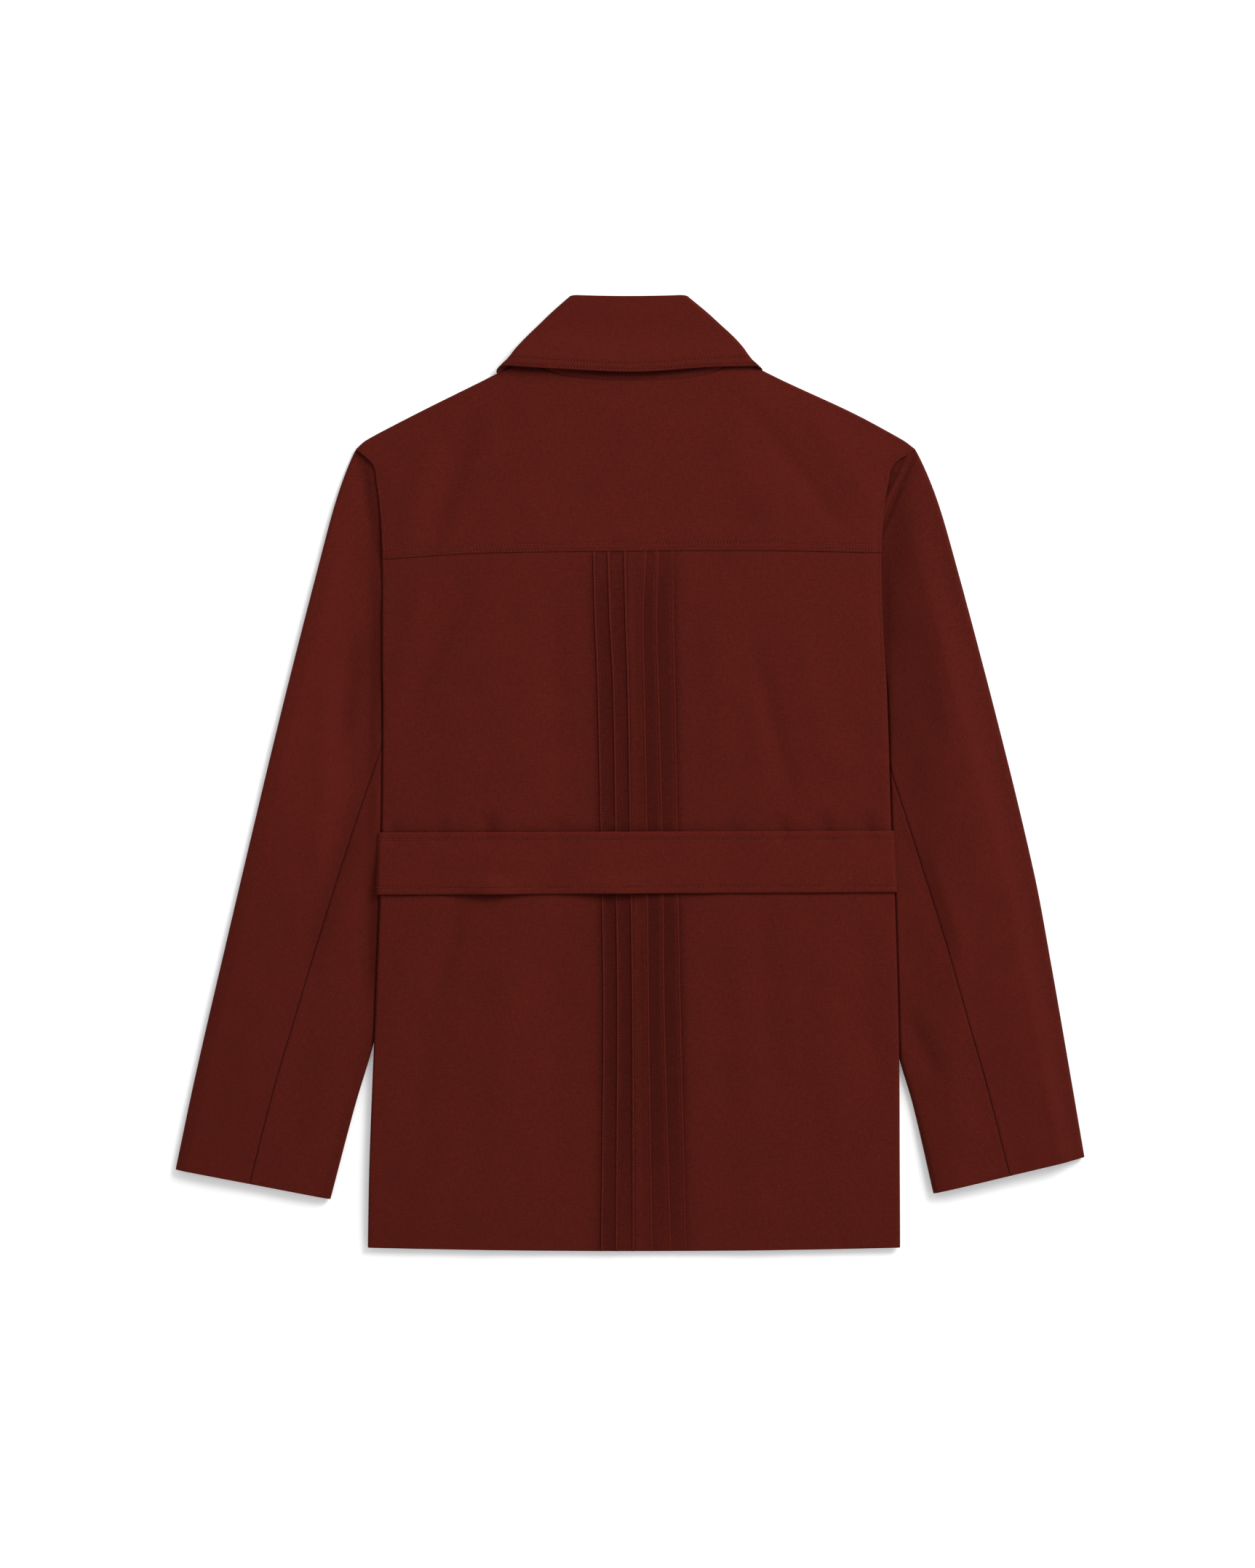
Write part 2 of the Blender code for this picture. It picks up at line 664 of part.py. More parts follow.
def front_inner_x(y, sleeve):
    """A front's inner edge: past the centre by the lap, then the front neck seam."""
    depth = (NECK_POINT_Y - y) / FRONT_NECK_DEPTH
    if depth > 1:
        return CENTRE_X - sleeve.side * FRONT_LAP
    return CENTRE_X + sleeve.side * NECK_HALF_WIDTH * math.sqrt(1 - depth * depth)


def build_front(sleeve):
    """A front: plain, flat on the surface, raised where the sleeve or the collar lies under it."""
    grid = []
    for y in FRONT_ROWS:
        inner, outer = front_inner_x(y, sleeve), front_outer_x(y, sleeve)
        places = [mix(inner, outer, s) for s in FRONT_COLUMNS]
        grid.append([(x, y, front_low(x, y, sleeve)) for x in places])
    cloth_sheet("front_" + side_name(sleeve.side), grid, CLOTH, flipped=sleeve.side > 0)


def sleeve_place(sleeve, across, down):
    """A place in the sleeve's outline, from its outer to its inner fold and from head to cuff."""
    outer, inner = along(sleeve.outer, down), along(sleeve.inner, down)
    head = along(sleeve.head, across)
    cuff = sleeve.outer[-1].lerp(sleeve.inner[-1], across)
    corners = sleeve.head[0].lerp(sleeve.head[-1], across).lerp(cuff, down)
    return outer.lerp(inner, across) + head.lerp(cuff, down) - corners


def sleeve_loft(across, down):
    """Height of the sleeve's upper wall: flat at the head and under the body, fuller outside."""
    fuller = smooth((SLEEVE_FULL_TO - across) / SLEEVE_FULL_RUN)
    full = mix(SLEEVE_LOFT_INNER, SLEEVE_LOFT_OUTER, fuller)
    return mix(SLEEVE_LOFT_HEAD, full, smooth(down / SLEEVE_HEAD_RUN))


def sleeve_grid(sleeve, section):
    """Rows from head to cuff of a sleeve piece, each the section's places across and heights."""
    grid = []
    for down in SLEEVE_ROWS:
        width = (along(sleeve.inner, down) - along(sleeve.outer, down)).length
        row = []
        for across, height in section(down, width):
            place = sleeve_place(sleeve, across, down)
            row.append((place.x, place.y, height))
        grid.append(row)
    return grid


def elbow_share(sleeve, down):
    return mix(sleeve.elbow_at_head, sleeve.elbow_at_cuff, down)


def fold_places(roll, loft, from_inner):
    """Half an ellipse round a sleeve's fold, from the lower wall to the upper."""
    places = []
    for angle in (math.radians(a) for a in (0, 36, 72, 108, 144, 180)):
        across = roll * (1 - math.sin(angle))
        places.append((1 - across if from_inner else across, loft / 2 * (1 - math.cos(angle))))
    return places


def build_sleeve(sleeve):
    """A two-piece sleeve pressed flat: the upper piece round the outer fold, the under round the inner."""

    def upper(down, width):
        seam, gap, roll = elbow_share(sleeve, down), SEAM_GAP / 2 / width, SLEEVE_ROLL / width
        low = [(FRONT_SEAM_SHARE * s - gap, 0.0) for s in (1.0, 0.8, 0.6, 0.44, 0.28, 0.15)]
        fold = fold_places(roll, sleeve_loft(roll, down), False)
        tops = [mix(roll, seam - gap, s) for s in (0.25, 0.5, 0.75, 1.0)]
        return low + fold + [(a, sleeve_loft(a, down)) for a in tops]

    def under(down, width):
        seam, gap, roll = elbow_share(sleeve, down), SEAM_GAP / 2 / width, SLEEVE_ROLL / width
        low = [(mix(FRONT_SEAM_SHARE + gap, 1 - roll, s), 0.0) for s in (0.0, 0.5)]
        fold = fold_places(roll, sleeve_loft(1 - roll, down), True)
        tops = [mix(1 - roll, seam + gap, s) for s in (0.4, 0.7, 1.0)]
        return low + fold + [(a, sleeve_loft(a, down)) for a in tops]

    name = side_name(sleeve.side)
    cloth_sheet("sleeve_upper_" + name, sleeve_grid(sleeve, upper), CLOTH, flipped=sleeve.side < 0)
    cloth_sheet("sleeve_under_" + name, sleeve_grid(sleeve, under), CLOTH, flipped=sleeve.side > 0)


def build_jacket():
    clear_scene()
    build_yoke()
    build_back()
    build_belt()
    build_leaf()
    build_stand()
    for sleeve in (SLEEVE_LEFT, SLEEVE_RIGHT):
        build_front(sleeve)
        build_sleeve(sleeve)


build_jacket()
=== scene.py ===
"""A safari jacket laid flat on its front, back upwards: cloth shells, topstitching and studio.

Metres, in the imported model's frame: +Z up, +Y towards the collar, +X to the right seen from above.
Every piece of cloth is a closed shell between an outer and an inner grid of points.
"""

from __future__ import annotations

import logging
import math
from collections.abc import Sequence
from dataclasses import dataclass
from enum import Enum

import bpy
import numpy as np
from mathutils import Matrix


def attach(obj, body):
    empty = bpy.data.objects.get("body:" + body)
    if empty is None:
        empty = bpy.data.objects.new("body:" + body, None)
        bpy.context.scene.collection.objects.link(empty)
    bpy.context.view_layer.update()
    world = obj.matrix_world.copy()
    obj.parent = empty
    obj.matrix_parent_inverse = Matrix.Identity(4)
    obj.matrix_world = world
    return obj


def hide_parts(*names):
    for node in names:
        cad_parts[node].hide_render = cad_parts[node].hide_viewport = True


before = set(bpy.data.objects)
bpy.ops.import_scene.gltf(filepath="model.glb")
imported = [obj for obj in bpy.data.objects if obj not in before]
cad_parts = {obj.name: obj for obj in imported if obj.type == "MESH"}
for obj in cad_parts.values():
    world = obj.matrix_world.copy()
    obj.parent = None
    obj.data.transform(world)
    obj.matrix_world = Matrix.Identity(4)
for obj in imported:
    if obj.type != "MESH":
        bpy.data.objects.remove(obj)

Array = np.ndarray
Point = tuple[float, float]
Triple = tuple[float, float, float]
# A sewn column of a grid and how far down it is sewn
Seam = tuple[int, float]

log = logging.getLogger("jacket")
ROOT_BODY = "root"
GRAIN_MAP = "grain"
TONE_NAME = "tone"
# Points across an edge that turns down, the weight of noise's finer octaves, a length near to nothing
EDGE_POINTS = 9
NOISE_ROUGHNESS = 0.55
TINY = 1e-12


class Side(Enum):
    """A side of the jacket as seen from above, with the sign of its X."""

    LEFT = -1
    RIGHT = 1

    @property
    def word(self) -> str:
        """The side's name in lower case."""
        return self.name.lower()


class SleevePiece(Enum):
    """The two pieces that a sleeve is cut in."""

    UPPER = "upper"
    UNDER = "under"


def smooth(share: Array) -> Array:
    """A share held between 0 and 1 and eased at both ends."""
    held = np.clip(share, 0.0, 1.0)
    return held * held * (3 - 2 * held)


def mix(a: Array, b: Array, share: Array) -> Array:
    """The value at a share of the way from one to another."""
    return a + (b - a) * share


def bell(distance: Array, width: float) -> Array:
    """A soft bump of height 1 at distance 0, of the given half width."""
    return np.exp(-((distance / width) ** 2))


def wear(distance: Array, shape: Point) -> Array:
    """Tone beside an edge: its strength there, and how far in it reaches."""
    strength, reach = shape
    return strength * bell(distance, reach)


def puffed(distance: Array, shape: Triple) -> Array:
    """Height of a soft puff: its distance from an edge, half width and height."""
    middle, width, height = shape
    return height * bell(distance - middle, width)


def ramp(place: Array, shape: Point) -> Array:
    """Eased rise from 0 to 1: where it starts, and its run."""
    start, run = shape
    return smooth((place - start) / run)


def edge_drop(distance: Array, depth: Array, turn: float) -> Array:
    """How far an edge has turned down at a distance in from it: a quarter of an ellipse.

    Args:
        distance: distances in from the edge.
        depth: how far the edge itself turns down.
        turn: the distance over which it turns.

    Returns:
        The drop at each distance.
    """
    inside = 1 - np.clip(distance / turn, 0.0, 1.0)
    return depth * (1 - np.sqrt(np.maximum(1 - inside**2, 0.0)))


def eased_through(knots: Sequence[float], values: Sequence[float], at: Array) -> Array:
    """Values on a smooth curve through given ones: cubic pieces whose slopes come from their neighbours.

    Args:
        knots: rising places of the given values.
        values: the given values.
        at: the places to read.

    Returns:
        The curve's values there.
    """
    places, heights = np.asarray(knots, float), np.asarray(values, float)
    index = np.arange(len(places))
    before, after = np.maximum(index - 1, 0), np.minimum(index + 1, len(places) - 1)
    slopes = (heights[after] - heights[before]) / (places[after] - places[before])
    held = np.clip(at, places[0], places[-1])
    low = np.clip(np.searchsorted(places, held, side="right") - 1, 0, len(places) - 2)
    run = places[low + 1] - places[low]
    s = (held - places[low]) / run
    start = heights[low] * (1 + 2 * s) * (1 - s) ** 2 + slopes[low] * run * s * (1 - s) ** 2
    end = heights[low + 1] * s * s * (3 - 2 * s) - slopes[low + 1] * run * s * s * (1 - s)
    return start + end


def along(points: Sequence[Point], share: Array) -> Array:
    """Points at shares of the length of a smooth curve through the given points.

    Args:
        points: the points that the curve passes.
        share: shares of its length, of any shape.

    Returns:
        An array of the same shape with x and y as a last axis.
    """
    line = np.asarray(points, float)
    steps = np.hypot(*np.diff(line, axis=0).T)
    knots = np.concatenate(([0.0], np.cumsum(steps)))
    at = share * knots[-1]
    return np.stack([eased_through(knots, line[:, k], at) for k in range(2)], axis=-1)


def rounded_steps(turn: float, count: int) -> Array:
    """Distances in from a rounded edge, closer together at the edge itself."""
    return turn * (1 - np.cos(np.linspace(0.0, math.pi / 2, count)))


@dataclass(frozen=True)
class Crease:
    """A soft fold in the cloth along a line: a ridge, or a trough where its rise is negative."""

    start: Point
    end: Point
    width: float
    rise: float


# Share of a crease's length over which it eases away at each end
END_EASE = 0.35


def crease_heights(creases: Sequence[Crease], x: Array, y: Array) -> Array:
    """Heights that creases add: each a bell across its line, eased to nothing at the line's ends.

    Args:
        creases: the creases of a piece.
        x: places across.
        y: places along.

    Returns:
        The summed heights.
    """
    height = np.zeros(np.broadcast(x, y).shape)
    for crease in creases:
        (x0, y0), (x1, y1) = crease.start, crease.end
        run_x, run_y = x1 - x0, y1 - y0
        length = math.hypot(run_x, run_y)
        ahead = ((x - x0) * run_x + (y - y0) * run_y) / length**2
        aside = ((x - x0) * run_y - (y - y0) * run_x) / length
        ends = smooth(ahead / END_EASE) * smooth((1 - ahead) / END_EASE)
        height += crease.rise * bell(aside, crease.width) * ends
    return height


# Slow waves of cloth that has been pressed and worn: waves a metre along x and y, phase, height
SLOW_WAVES = (
    (9.0, 4.0, 0.3, 0.00016),
    (-6.0, 11.0, 1.9, 0.00014),
    (17.0, -7.0, 4.1, 0.00010),
    (3.0, 23.0, 2.6, 0.00008),
    (29.0, 13.0, 5.2, 0.00005),
    (-21.0, 31.0, 0.8, 0.00004),
)


def slow_waves(x: Array, y: Array) -> Array:
    """Heights of broad, slight unevenness: a sum of six plane waves."""
    waves = [h * np.sin(2 * math.pi * (x * a + y * b) + p) for a, b, p, h in SLOW_WAVES]
    return np.sum(waves, axis=0)


@dataclass
class ClothShell:
    """A wall of cloth between two grids of the same rows and columns.

    Attributes:
        name: the piece's name.
        outer: points of the outer face, as rows, columns and 3.
        inner: the matching points of the inner face.
        grain: distances across and along the grain at each point, as rows, columns and 2.
        tone: how far each point is lighter, as worn edges are, or darker, as sewn lines are; it also carries
            painted light and shade.
    """

    name: str
    outer: Array
    inner: Array
    grain: Array
    tone: Array

    def facing(self) -> float:
        """1 if the grid's own normals point out of the wall, or -1."""
        out = self.outer - self.inner
        return math.copysign(1.0, float(np.sum(np.cross(*self.tangents()) * out)))

    def tangents(self) -> tuple[Array, Array]:
        """Directions along the columns' order and along the rows' order at each point."""
        return np.gradient(self.outer, axis=1), np.gradient(self.outer, axis=0)

    def normals(self) -> Array:
        """Unit vectors out of the outer face."""
        return unit(np.cross(*self.tangents())) * self.facing()

    def faces(self) -> Array:
        """Quads of both faces and of the rim that closes them, all pointing outwards."""
        rows, columns = self.outer.shape[:2]
        top = np.arange(rows * columns).reshape(rows, columns)
        low = top + rows * columns
        upper, lower = rim_loop(top), rim_loop(low)
        rim = np.stack((np.roll(upper, -1), upper, lower, np.roll(lower, -1)), axis=-1)
        made = np.concatenate((grid_quads(top), grid_quads(low)[:, ::-1], rim))
        return made if self.facing() > 0 else made[:, ::-1]

    def build(self, material: bpy.types.Material) -> bpy.types.Object:
        """Makes the shell's object, with its grain as a UV map and its tone as an attribute.

        Args:
            material: the cloth's finish.

        Returns:
            The new object, at the origin.
        """
        points = np.concatenate((self.outer.reshape(-1, 3), self.inner.reshape(-1, 3)))
        faces = self.faces()
        mesh = bpy.data.meshes.new(self.name)
        mesh.from_pydata(points.tolist(), [], faces.tolist())
        grain = np.concatenate((self.grain.reshape(-1, 2), self.grain.reshape(-1, 2)))
        layer = mesh.uv_layers.new(name=GRAIN_MAP)
        layer.data.foreach_set("uv", grain[faces.ravel()].astype(np.float32).ravel())
        tone = mesh.attributes.new(TONE_NAME, "FLOAT", "POINT")
        tone.data.foreach_set("value", np.tile(self.tone.ravel(), 2).astype(np.float32))
        return finished_object(self.name, mesh, material)


def unit(vectors: Array) -> Array:
    """Vectors brought to length 1."""
    return vectors / np.maximum(np.linalg.norm(vectors, axis=-1, keepdims=True), TINY)


def grid_quads(index: Array) -> Array:
    """Quads over a grid of vertex numbers."""
    corners = (index[:-1, :-1], index[:-1, 1:], index[1:, 1:], index[1:, :-1])
    return np.stack(corners, axis=-1).reshape(-1, 4)


def rim_loop(index: Array) -> Array:
    """Vertex numbers once round the edge of a grid."""
    return np.concatenate((index[0], index[1:, -1], index[-1, -2::-1], index[-2:0:-1, 0]))


def surface_grain(points: Array) -> Array:
    """Grain distances of a rolled piece: mean lengths across its columns and along its rows."""
    across = np.linalg.norm(np.diff(points, axis=1), axis=-1).mean(axis=0)
    down = np.linalg.norm(np.diff(points, axis=0), axis=-1).mean(axis=1)
    u = np.concatenate(([0.0], np.cumsum(across)))
    v = np.concatenate(([0.0], np.cumsum(down)))
    return np.stack(np.broadcast_arrays(u[None, :], v[:, None]), axis=-1)


def finished_object(
    name: str, mesh: bpy.types.Mesh, material: bpy.types.Material
) -> bpy.types.Object:
    """Shades a mesh smooth, gives it its finish and links its object.

    Args:
        name: the piece's name.
        mesh: the finished mesh.
        material: its finish.

    Returns:
        The new object.
    """
    mesh.polygons.foreach_set("use_smooth", np.ones(len(mesh.polygons), dtype=bool))
    mesh.materials.append(material)
    mesh.update()
    made = bpy.data.objects.new(name, mesh)
    bpy.context.scene.collection.objects.link(made)
    return made


@dataclass(frozen=True)
class StitchGauge:
    """A machine's stitch: its pitch, its length on top of the cloth and the thread's radius."""

    pitch: float = 0.0024
    length: float = 0.0023
    radius: float = 0.00026
    # Rings along a stitch: share of its half length, thickness, lift and tone, the tones painting shade at
    # its first ring and a highlight at its last
    rings: tuple[tuple[float, float, float, float], ...] = (
        (-0.60, 0.95, 0.35, -1.0),
        (0.0, 1.0, 0.45, 0.1),
        (0.60, 0.90, 0.35, 1.0),
    )
    # Painted shade where a stitch dips into its holes
    end_painted_shade: float = -1.0
    # How a row's tones differ from those of the rings
    tone_shift: float = 0.0
    tone_share: float = 1.0
    sides: int = 6
    # How far stitches stray along their row, and that wave's turn from one to the next
    stray: float = 0.00012
    stray_turn: float = 2.4
    # Half the length over which a row's direction is read, and how deep a stitch's ends lie
    heading_run: float = 0.0004
    end_sink: float = 0.5

    def grains(self, path: Array, up: Array) -> Array:
        """Vertices of the stitches along a path, each a grain of thread that dips in at both ends.

        A stitch is three rings of points between two end points; its middle is lifted.

        Args:
            path: points along the sewn line.
            up: the cloth's normals there.

        Returns:
            An array of stitches, vertices and 3.
        """
        steps = np.linalg.norm(np.diff(path, axis=0), axis=-1)
        run = np.concatenate(([0.0], np.cumsum(steps)))
        count = int(run[-1] / self.pitch)
        at = (np.arange(count) + 0.5) * (run[-1] / max(count, 1))
        at = at + self.stray * np.sin(np.arange(count) * self.stray_turn)

        def read(values: Array, places: Array) -> Array:
            """Values along the path, read at lengths of it."""
            return np.stack([np.interp(places, run, values[:, k]) for k in range(3)], axis=-1)

        centre = read(path, at)
        ahead = unit(read(path, at + self.heading_run) - read(path, at - self.heading_run))
        rise = unit(read(up, at))
        side = np.cross(rise, ahead)
        turn = np.arange(self.sides) * (2 * math.pi / self.sides)
        rows = []
        for share, swell, lift, _ in self.rings:
            middle = centre + ahead * (share * self.length / 2) + rise * (lift * self.radius)
            ring = side[:, None] * np.cos(turn)[:, None] + rise[:, None] * np.sin(turn)[:, None]
            rows.append(middle[:, None] + ring * (swell * self.radius))
        sunk = rise * self.radius * self.end_sink
        ends = [centre + ahead * (s * self.length / 2) - sunk for s in (-1, 1)]
        return np.concatenate(rows + [end[:, None] for end in ends], axis=1)

    def grain_faces(self) -> list[list[int]]:
        """Faces of one stitch: quads between its rings and triangles to its end points."""
        n, last = self.sides, len(self.rings) * self.sides
        following = np.roll(np.arange(n), -1)
        quads = []
        for k in range(len(self.rings) - 1):
            a, b = k * n + np.arange(n), k * n + following
            quads += np.stack((a, b, b + n, a + n), axis=-1).tolist()
        first = np.stack((following, np.arange(n), np.full(n, last)), axis=-1).tolist()
        top = last - n
        final = np.stack((top + np.arange(n), top + following, np.full(n, last + 1)), axis=-1)
        return quads + first + final.tolist()

    def sew(
        self, name: str, lines: Sequence[tuple[Array, Array]], material: bpy.types.Material
    ) -> bpy.types.Object:
        """Makes one object of all the stitches along some lines.

        Args:
            name: the object's name.
            lines: pairs of a path's points and the cloth's normals there.
            material: the thread's finish.

        Returns:
            The stitches' object.
        """
        grains = np.concatenate([self.grains(path, up) for path, up in lines])
        count, size = grains.shape[:2]
        offsets = np.arange(count) * size
        faces = []
        for face in self.grain_faces():
            faces += (np.array(face)[None, :] + offsets[:, None]).tolist()
        mesh = bpy.data.meshes.new(name)
        mesh.from_pydata(grains.reshape(-1, 3).tolist(), [], faces)
        # Tones that paint shade at each stitch's ends and first ring and a highlight at its last ring
        ring_tones = np.repeat([ring[3] for ring in self.rings], self.sides)
        tones = np.concatenate((ring_tones, [self.end_painted_shade, self.end_painted_shade]))
        tones = self.tone_shift + self.tone_share * tones
        layer = mesh.attributes.new(TONE_NAME, "FLOAT", "POINT")
        layer.data.foreach_set("value", np.tile(tones, count).astype(np.float32))
        return finished_object(name, mesh, material)


@dataclass(frozen=True)
class Cut:
    """A piece as it was cut: flat width, length and area, and the pieces that it lies on."""

    width: float
    length: float
    area: float
    rests_on: tuple[str, ...]

    def declare(
        self, piece: bpy.types.Object, node: str, sewn: Sequence[bpy.types.Object] = ()
    ) -> None:
        """Puts a sheet of cloth and its stitches on the frame in place of a node.

        Args:
            piece: the sheet's object.
            node: the node that it stands for.
            sewn: the stitches on it.
        """
        for thing in (piece, *sewn):
            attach(thing, ROOT_BODY)
            log.info("%s: %d points, for %s", thing.name, len(thing.data.vertices), node)
        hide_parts(node)


class Socket:
    """A shader node's output, on which Python's operators add Math nodes."""

    def __init__(self, graph: ShaderGraph, output: bpy.types.NodeSocket) -> None:
        """Keeps the graph and the output."""
        self.graph = graph
        self.output = output

    def __add__(self, other: Socket | float) -> Socket:
        """This value plus another."""
        return self.graph.math("ADD", self, other)

    def __radd__(self, other: float) -> Socket:
        """A number plus this value."""
        return self.graph.math("ADD", other, self)

    def __sub__(self, other: Socket | float) -> Socket:
        """This value less another."""
        return self.graph.math("SUBTRACT", self, other)

    def __rsub__(self, other: float) -> Socket:
        """A number less this value."""
        return self.graph.math("SUBTRACT", other, self)

    def __mul__(self, other: Socket | float) -> Socket:
        """This value times another."""
        return self.graph.math("MULTIPLY", self, other)

    def __rmul__(self, other: float) -> Socket:
        """A number times this value."""
        return self.graph.math("MULTIPLY", other, self)


class ShaderGraph:
    """A material's nodes round its Principled shader."""

    def __init__(self, name: str) -> None:
        """Makes the material, with nodes."""
        self.material = bpy.data.materials.new(name)
        self.material.use_nodes = True
        self.tree = self.material.node_tree
        self.shader = self.tree.nodes["Principled BSDF"]

    def node(
        self,
        kind: str,
        settings: dict[str, object] | None = None,
        inputs: dict[str | int, object] | None = None,
        output: str | int = 0,
    ) -> Socket:
        """Adds a node.

        Args:
            kind: the node's type.
            settings: its own properties, set first.
            inputs: values or links of its sockets, by name or number.
            output: which output to return.

        Returns:
            The chosen output.
        """
        made = self.tree.nodes.new(kind)
        for key, value in (settings or {}).items():
            setattr(made, key, value)
        for key, value in (inputs or {}).items():
            self.feed(made.inputs[key], value)
        return Socket(self, made.outputs[output])

    def feed(self, socket: bpy.types.NodeSocket, value: object) -> None:
        """Links an output to a socket, or sets the socket's own value."""
        if isinstance(value, Socket):
            self.tree.links.new(value.output, socket)
        else:
            socket.default_value = value

    def math(self, operation: str, a: Socket | float, b: Socket | float = 0.0) -> Socket:
        """A Math node on two values."""
        return self.node("ShaderNodeMath", {"operation": operation}, {0: a, 1: b})

    def noise(self, place: Socket, scale: Triple, detail: float = 2.0) -> Socket:
        """Noise about 0, from -1 to 1, with cells of 1 / scale along each axis.

        Args:
            place: the coordinates.
            scale: cells to a metre along each axis.
            detail: octaves of finer noise.

        Returns:
            The noise.
        """
        mapped = self.node("ShaderNodeMapping", None, {"Vector": place, "Scale": scale})
        inputs = {"Vector": mapped, "Scale": 1.0, "Detail": detail, "Roughness": NOISE_ROUGHNESS}
        raw = self.node("ShaderNodeTexNoise", {"noise_dimensions": "3D"}, inputs)
        return (raw - 0.5) * 2.0

    def blend(self, share: Socket, low: Triple, high: Triple) -> Socket:
        """A colour between two, by a share held between 0 and 1."""
        settings = {"data_type": "RGBA", "clamp_factor": True}
        return self.node("ShaderNodeMix", settings, {0: share, 6: (*low, 1.0), 7: (*high, 1.0)}, 2)

    def set_shader(self, values: dict[str, object]) -> None:
        """Sets or links the Principled shader's sockets."""
        for key, value in values.items():
            self.feed(self.shader.inputs[key], value)


@dataclass(frozen=True)
class ClothFinish:
    """Matte plain-woven cloth: fine threads both ways, heathered, worn a little at its edges, with painted
    light and shade from each piece's tone.
    """

    name: str = "rust_plain_weave"
    colour: Triple = (0.0763, 0.0084, 0.0051)
    depth: float = 0.45
    thread: float = 0.00055
    # Cells to a metre of each kind of unevenness
    warp_streak: Triple = (1500.0, 110.0, 1.0)
    weft_streak: Triple = (130.0, 1500.0, 1.0)
    speck: Triple = (800.0, 800.0, 1.0)
    slub: Triple = (270.0, 300.0, 1.0)
    mottle: Triple = (38.0, 30.0, 1.0)
    # Their shares of the colour, and that of the piece's tone, which also carries painted light and shade
    warp_share: float = 0.24
    weft_share: float = 0.20
    speck_share: float = 0.50
    slub_share: float = 0.18
    mottle_share: float = 0.10
    tone_share: float = 0.5
    # The weave's height, and that of specks and streaks beside it
    weave_height: float = 0.00009
    speck_height: float = 0.8
    streak_height: float = 0.5
    bump: float = 0.35
    roughness: float = 0.88
    roughness_change: float = 0.06
    specular: float = 0.05
    sheen: float = 0.02
    sheen_roughness: float = 0.5
    sheen_tint: Triple = (0.9, 0.45, 0.38)
    fine_detail: float = 3.0

    def shade(self, times: float) -> Triple:
        """The cloth's colour, darker or lighter."""
        return tuple(min(value * times, 1.0) for value in self.colour)

    def material(self) -> bpy.types.Material:
        """Makes the nodes: colour from streaks, specks, mottling and tone, bump from the weave.

        Returns:
            The finished material.
        """
        graph = ShaderGraph(self.name)
        grain = graph.node("ShaderNodeUVMap", {"uv_map": GRAIN_MAP}, output="UV")
        tone = graph.node("ShaderNodeAttribute", {"attribute_name": TONE_NAME}, output="Fac")
        warp = graph.noise(grain, self.warp_streak)
        weft = graph.noise(grain, self.weft_streak)
        speck = graph.noise(grain, self.speck, self.fine_detail)
        slub = graph.noise(grain, self.slub)
        mottle = graph.noise(grain, self.mottle, self.fine_detail)
        streaks = self.warp_share * warp + self.weft_share * weft
        streaks = streaks + self.speck_share * speck + self.slub_share * slub
        share = 0.5 + streaks + self.mottle_share * mottle + self.tone_share * tone
        base = graph.blend(share, self.shade(1 - self.depth), self.shade(1 + self.depth))

        split = graph.node("ShaderNodeSeparateXYZ", None, {0: grain})
        u, v = split, Socket(graph, split.output.node.outputs[1])
        turns = 2 * math.pi / self.thread
        over = graph.math("SINE", u * turns) * graph.math("SINE", v * turns)
        height = over + self.speck_height * speck + self.streak_height * warp + self.streak_height * weft
        bump_inputs = {"Strength": self.bump, "Distance": self.weave_height, "Height": height}
        normal = graph.node("ShaderNodeBump", None, bump_inputs)
        graph.set_shader(
            {
                "Base Color": base,
                "Roughness": self.roughness + self.roughness_change * mottle,
                "Normal": normal,
                "Metallic": 0.0,
                "Specular IOR Level": self.specular,
                "Sheen Weight": self.sheen,
                "Sheen Roughness": self.sheen_roughness,
                "Sheen Tint": (*self.sheen_tint, 1.0),
            }
        )
        return graph.material


@dataclass(frozen=True)
class ThreadFinish:
    """Topstitching thread of the cloth's colour, its tone painting a highlight along each stitch and shade in
    its holes.
    """

    name: str = "rust_thread"
    dark: Triple = (0.012, 0.0008, 0.0004)
    light: Triple = (0.205, 0.0370, 0.0255)
    # Cells to a metre of slow patches along a row and of the thread's twist
    patches: Triple = (90.0, 90.0, 90.0)
    twist: Triple = (4200.0, 4200.0, 4200.0)
    # How light the thread is, and what tone, patches and twist add
    base_share: float = 0.42
    tone_share: float = 0.46
    patch_share: float = 0.35
    twist_share: float = 0.15
    bump: float = 0.3
    twist_height: float = 0.0001
    roughness: float = 0.62
    roughness_change: float = 0.1
    specular: float = 0.03

    def material(self) -> bpy.types.Material:
        """Makes the nodes: painted light and shade by tone, slow patches along a row, and the twist's fine
        bump.

        Returns:
            The finished material.
        """
        graph = ShaderGraph(self.name)
        place = graph.node("ShaderNodeTexCoord", output="Object")
        tone = graph.node("ShaderNodeAttribute", {"attribute_name": TONE_NAME}, output="Fac")
        patch, twist = graph.noise(place, self.patches), graph.noise(place, self.twist)
        share = self.base_share + self.tone_share * tone
        share = share + self.patch_share * patch + self.twist_share * twist
        base = graph.blend(share, self.dark, self.light)
        bump_inputs = {"Strength": self.bump, "Distance": self.twist_height, "Height": twist}
        graph.set_shader(
            {
                "Base Color": base,
                "Roughness": self.roughness + self.roughness_change * patch,
                "Normal": graph.node("ShaderNodeBump", None, bump_inputs),
                "Metallic": 0.0,
                "Specular IOR Level": self.specular,
            }
        )
        return graph.material


@dataclass(frozen=True)
class Finishes:
    """The jacket's two finishes, as materials."""

    cloth: bpy.types.Material
    thread: bpy.types.Material


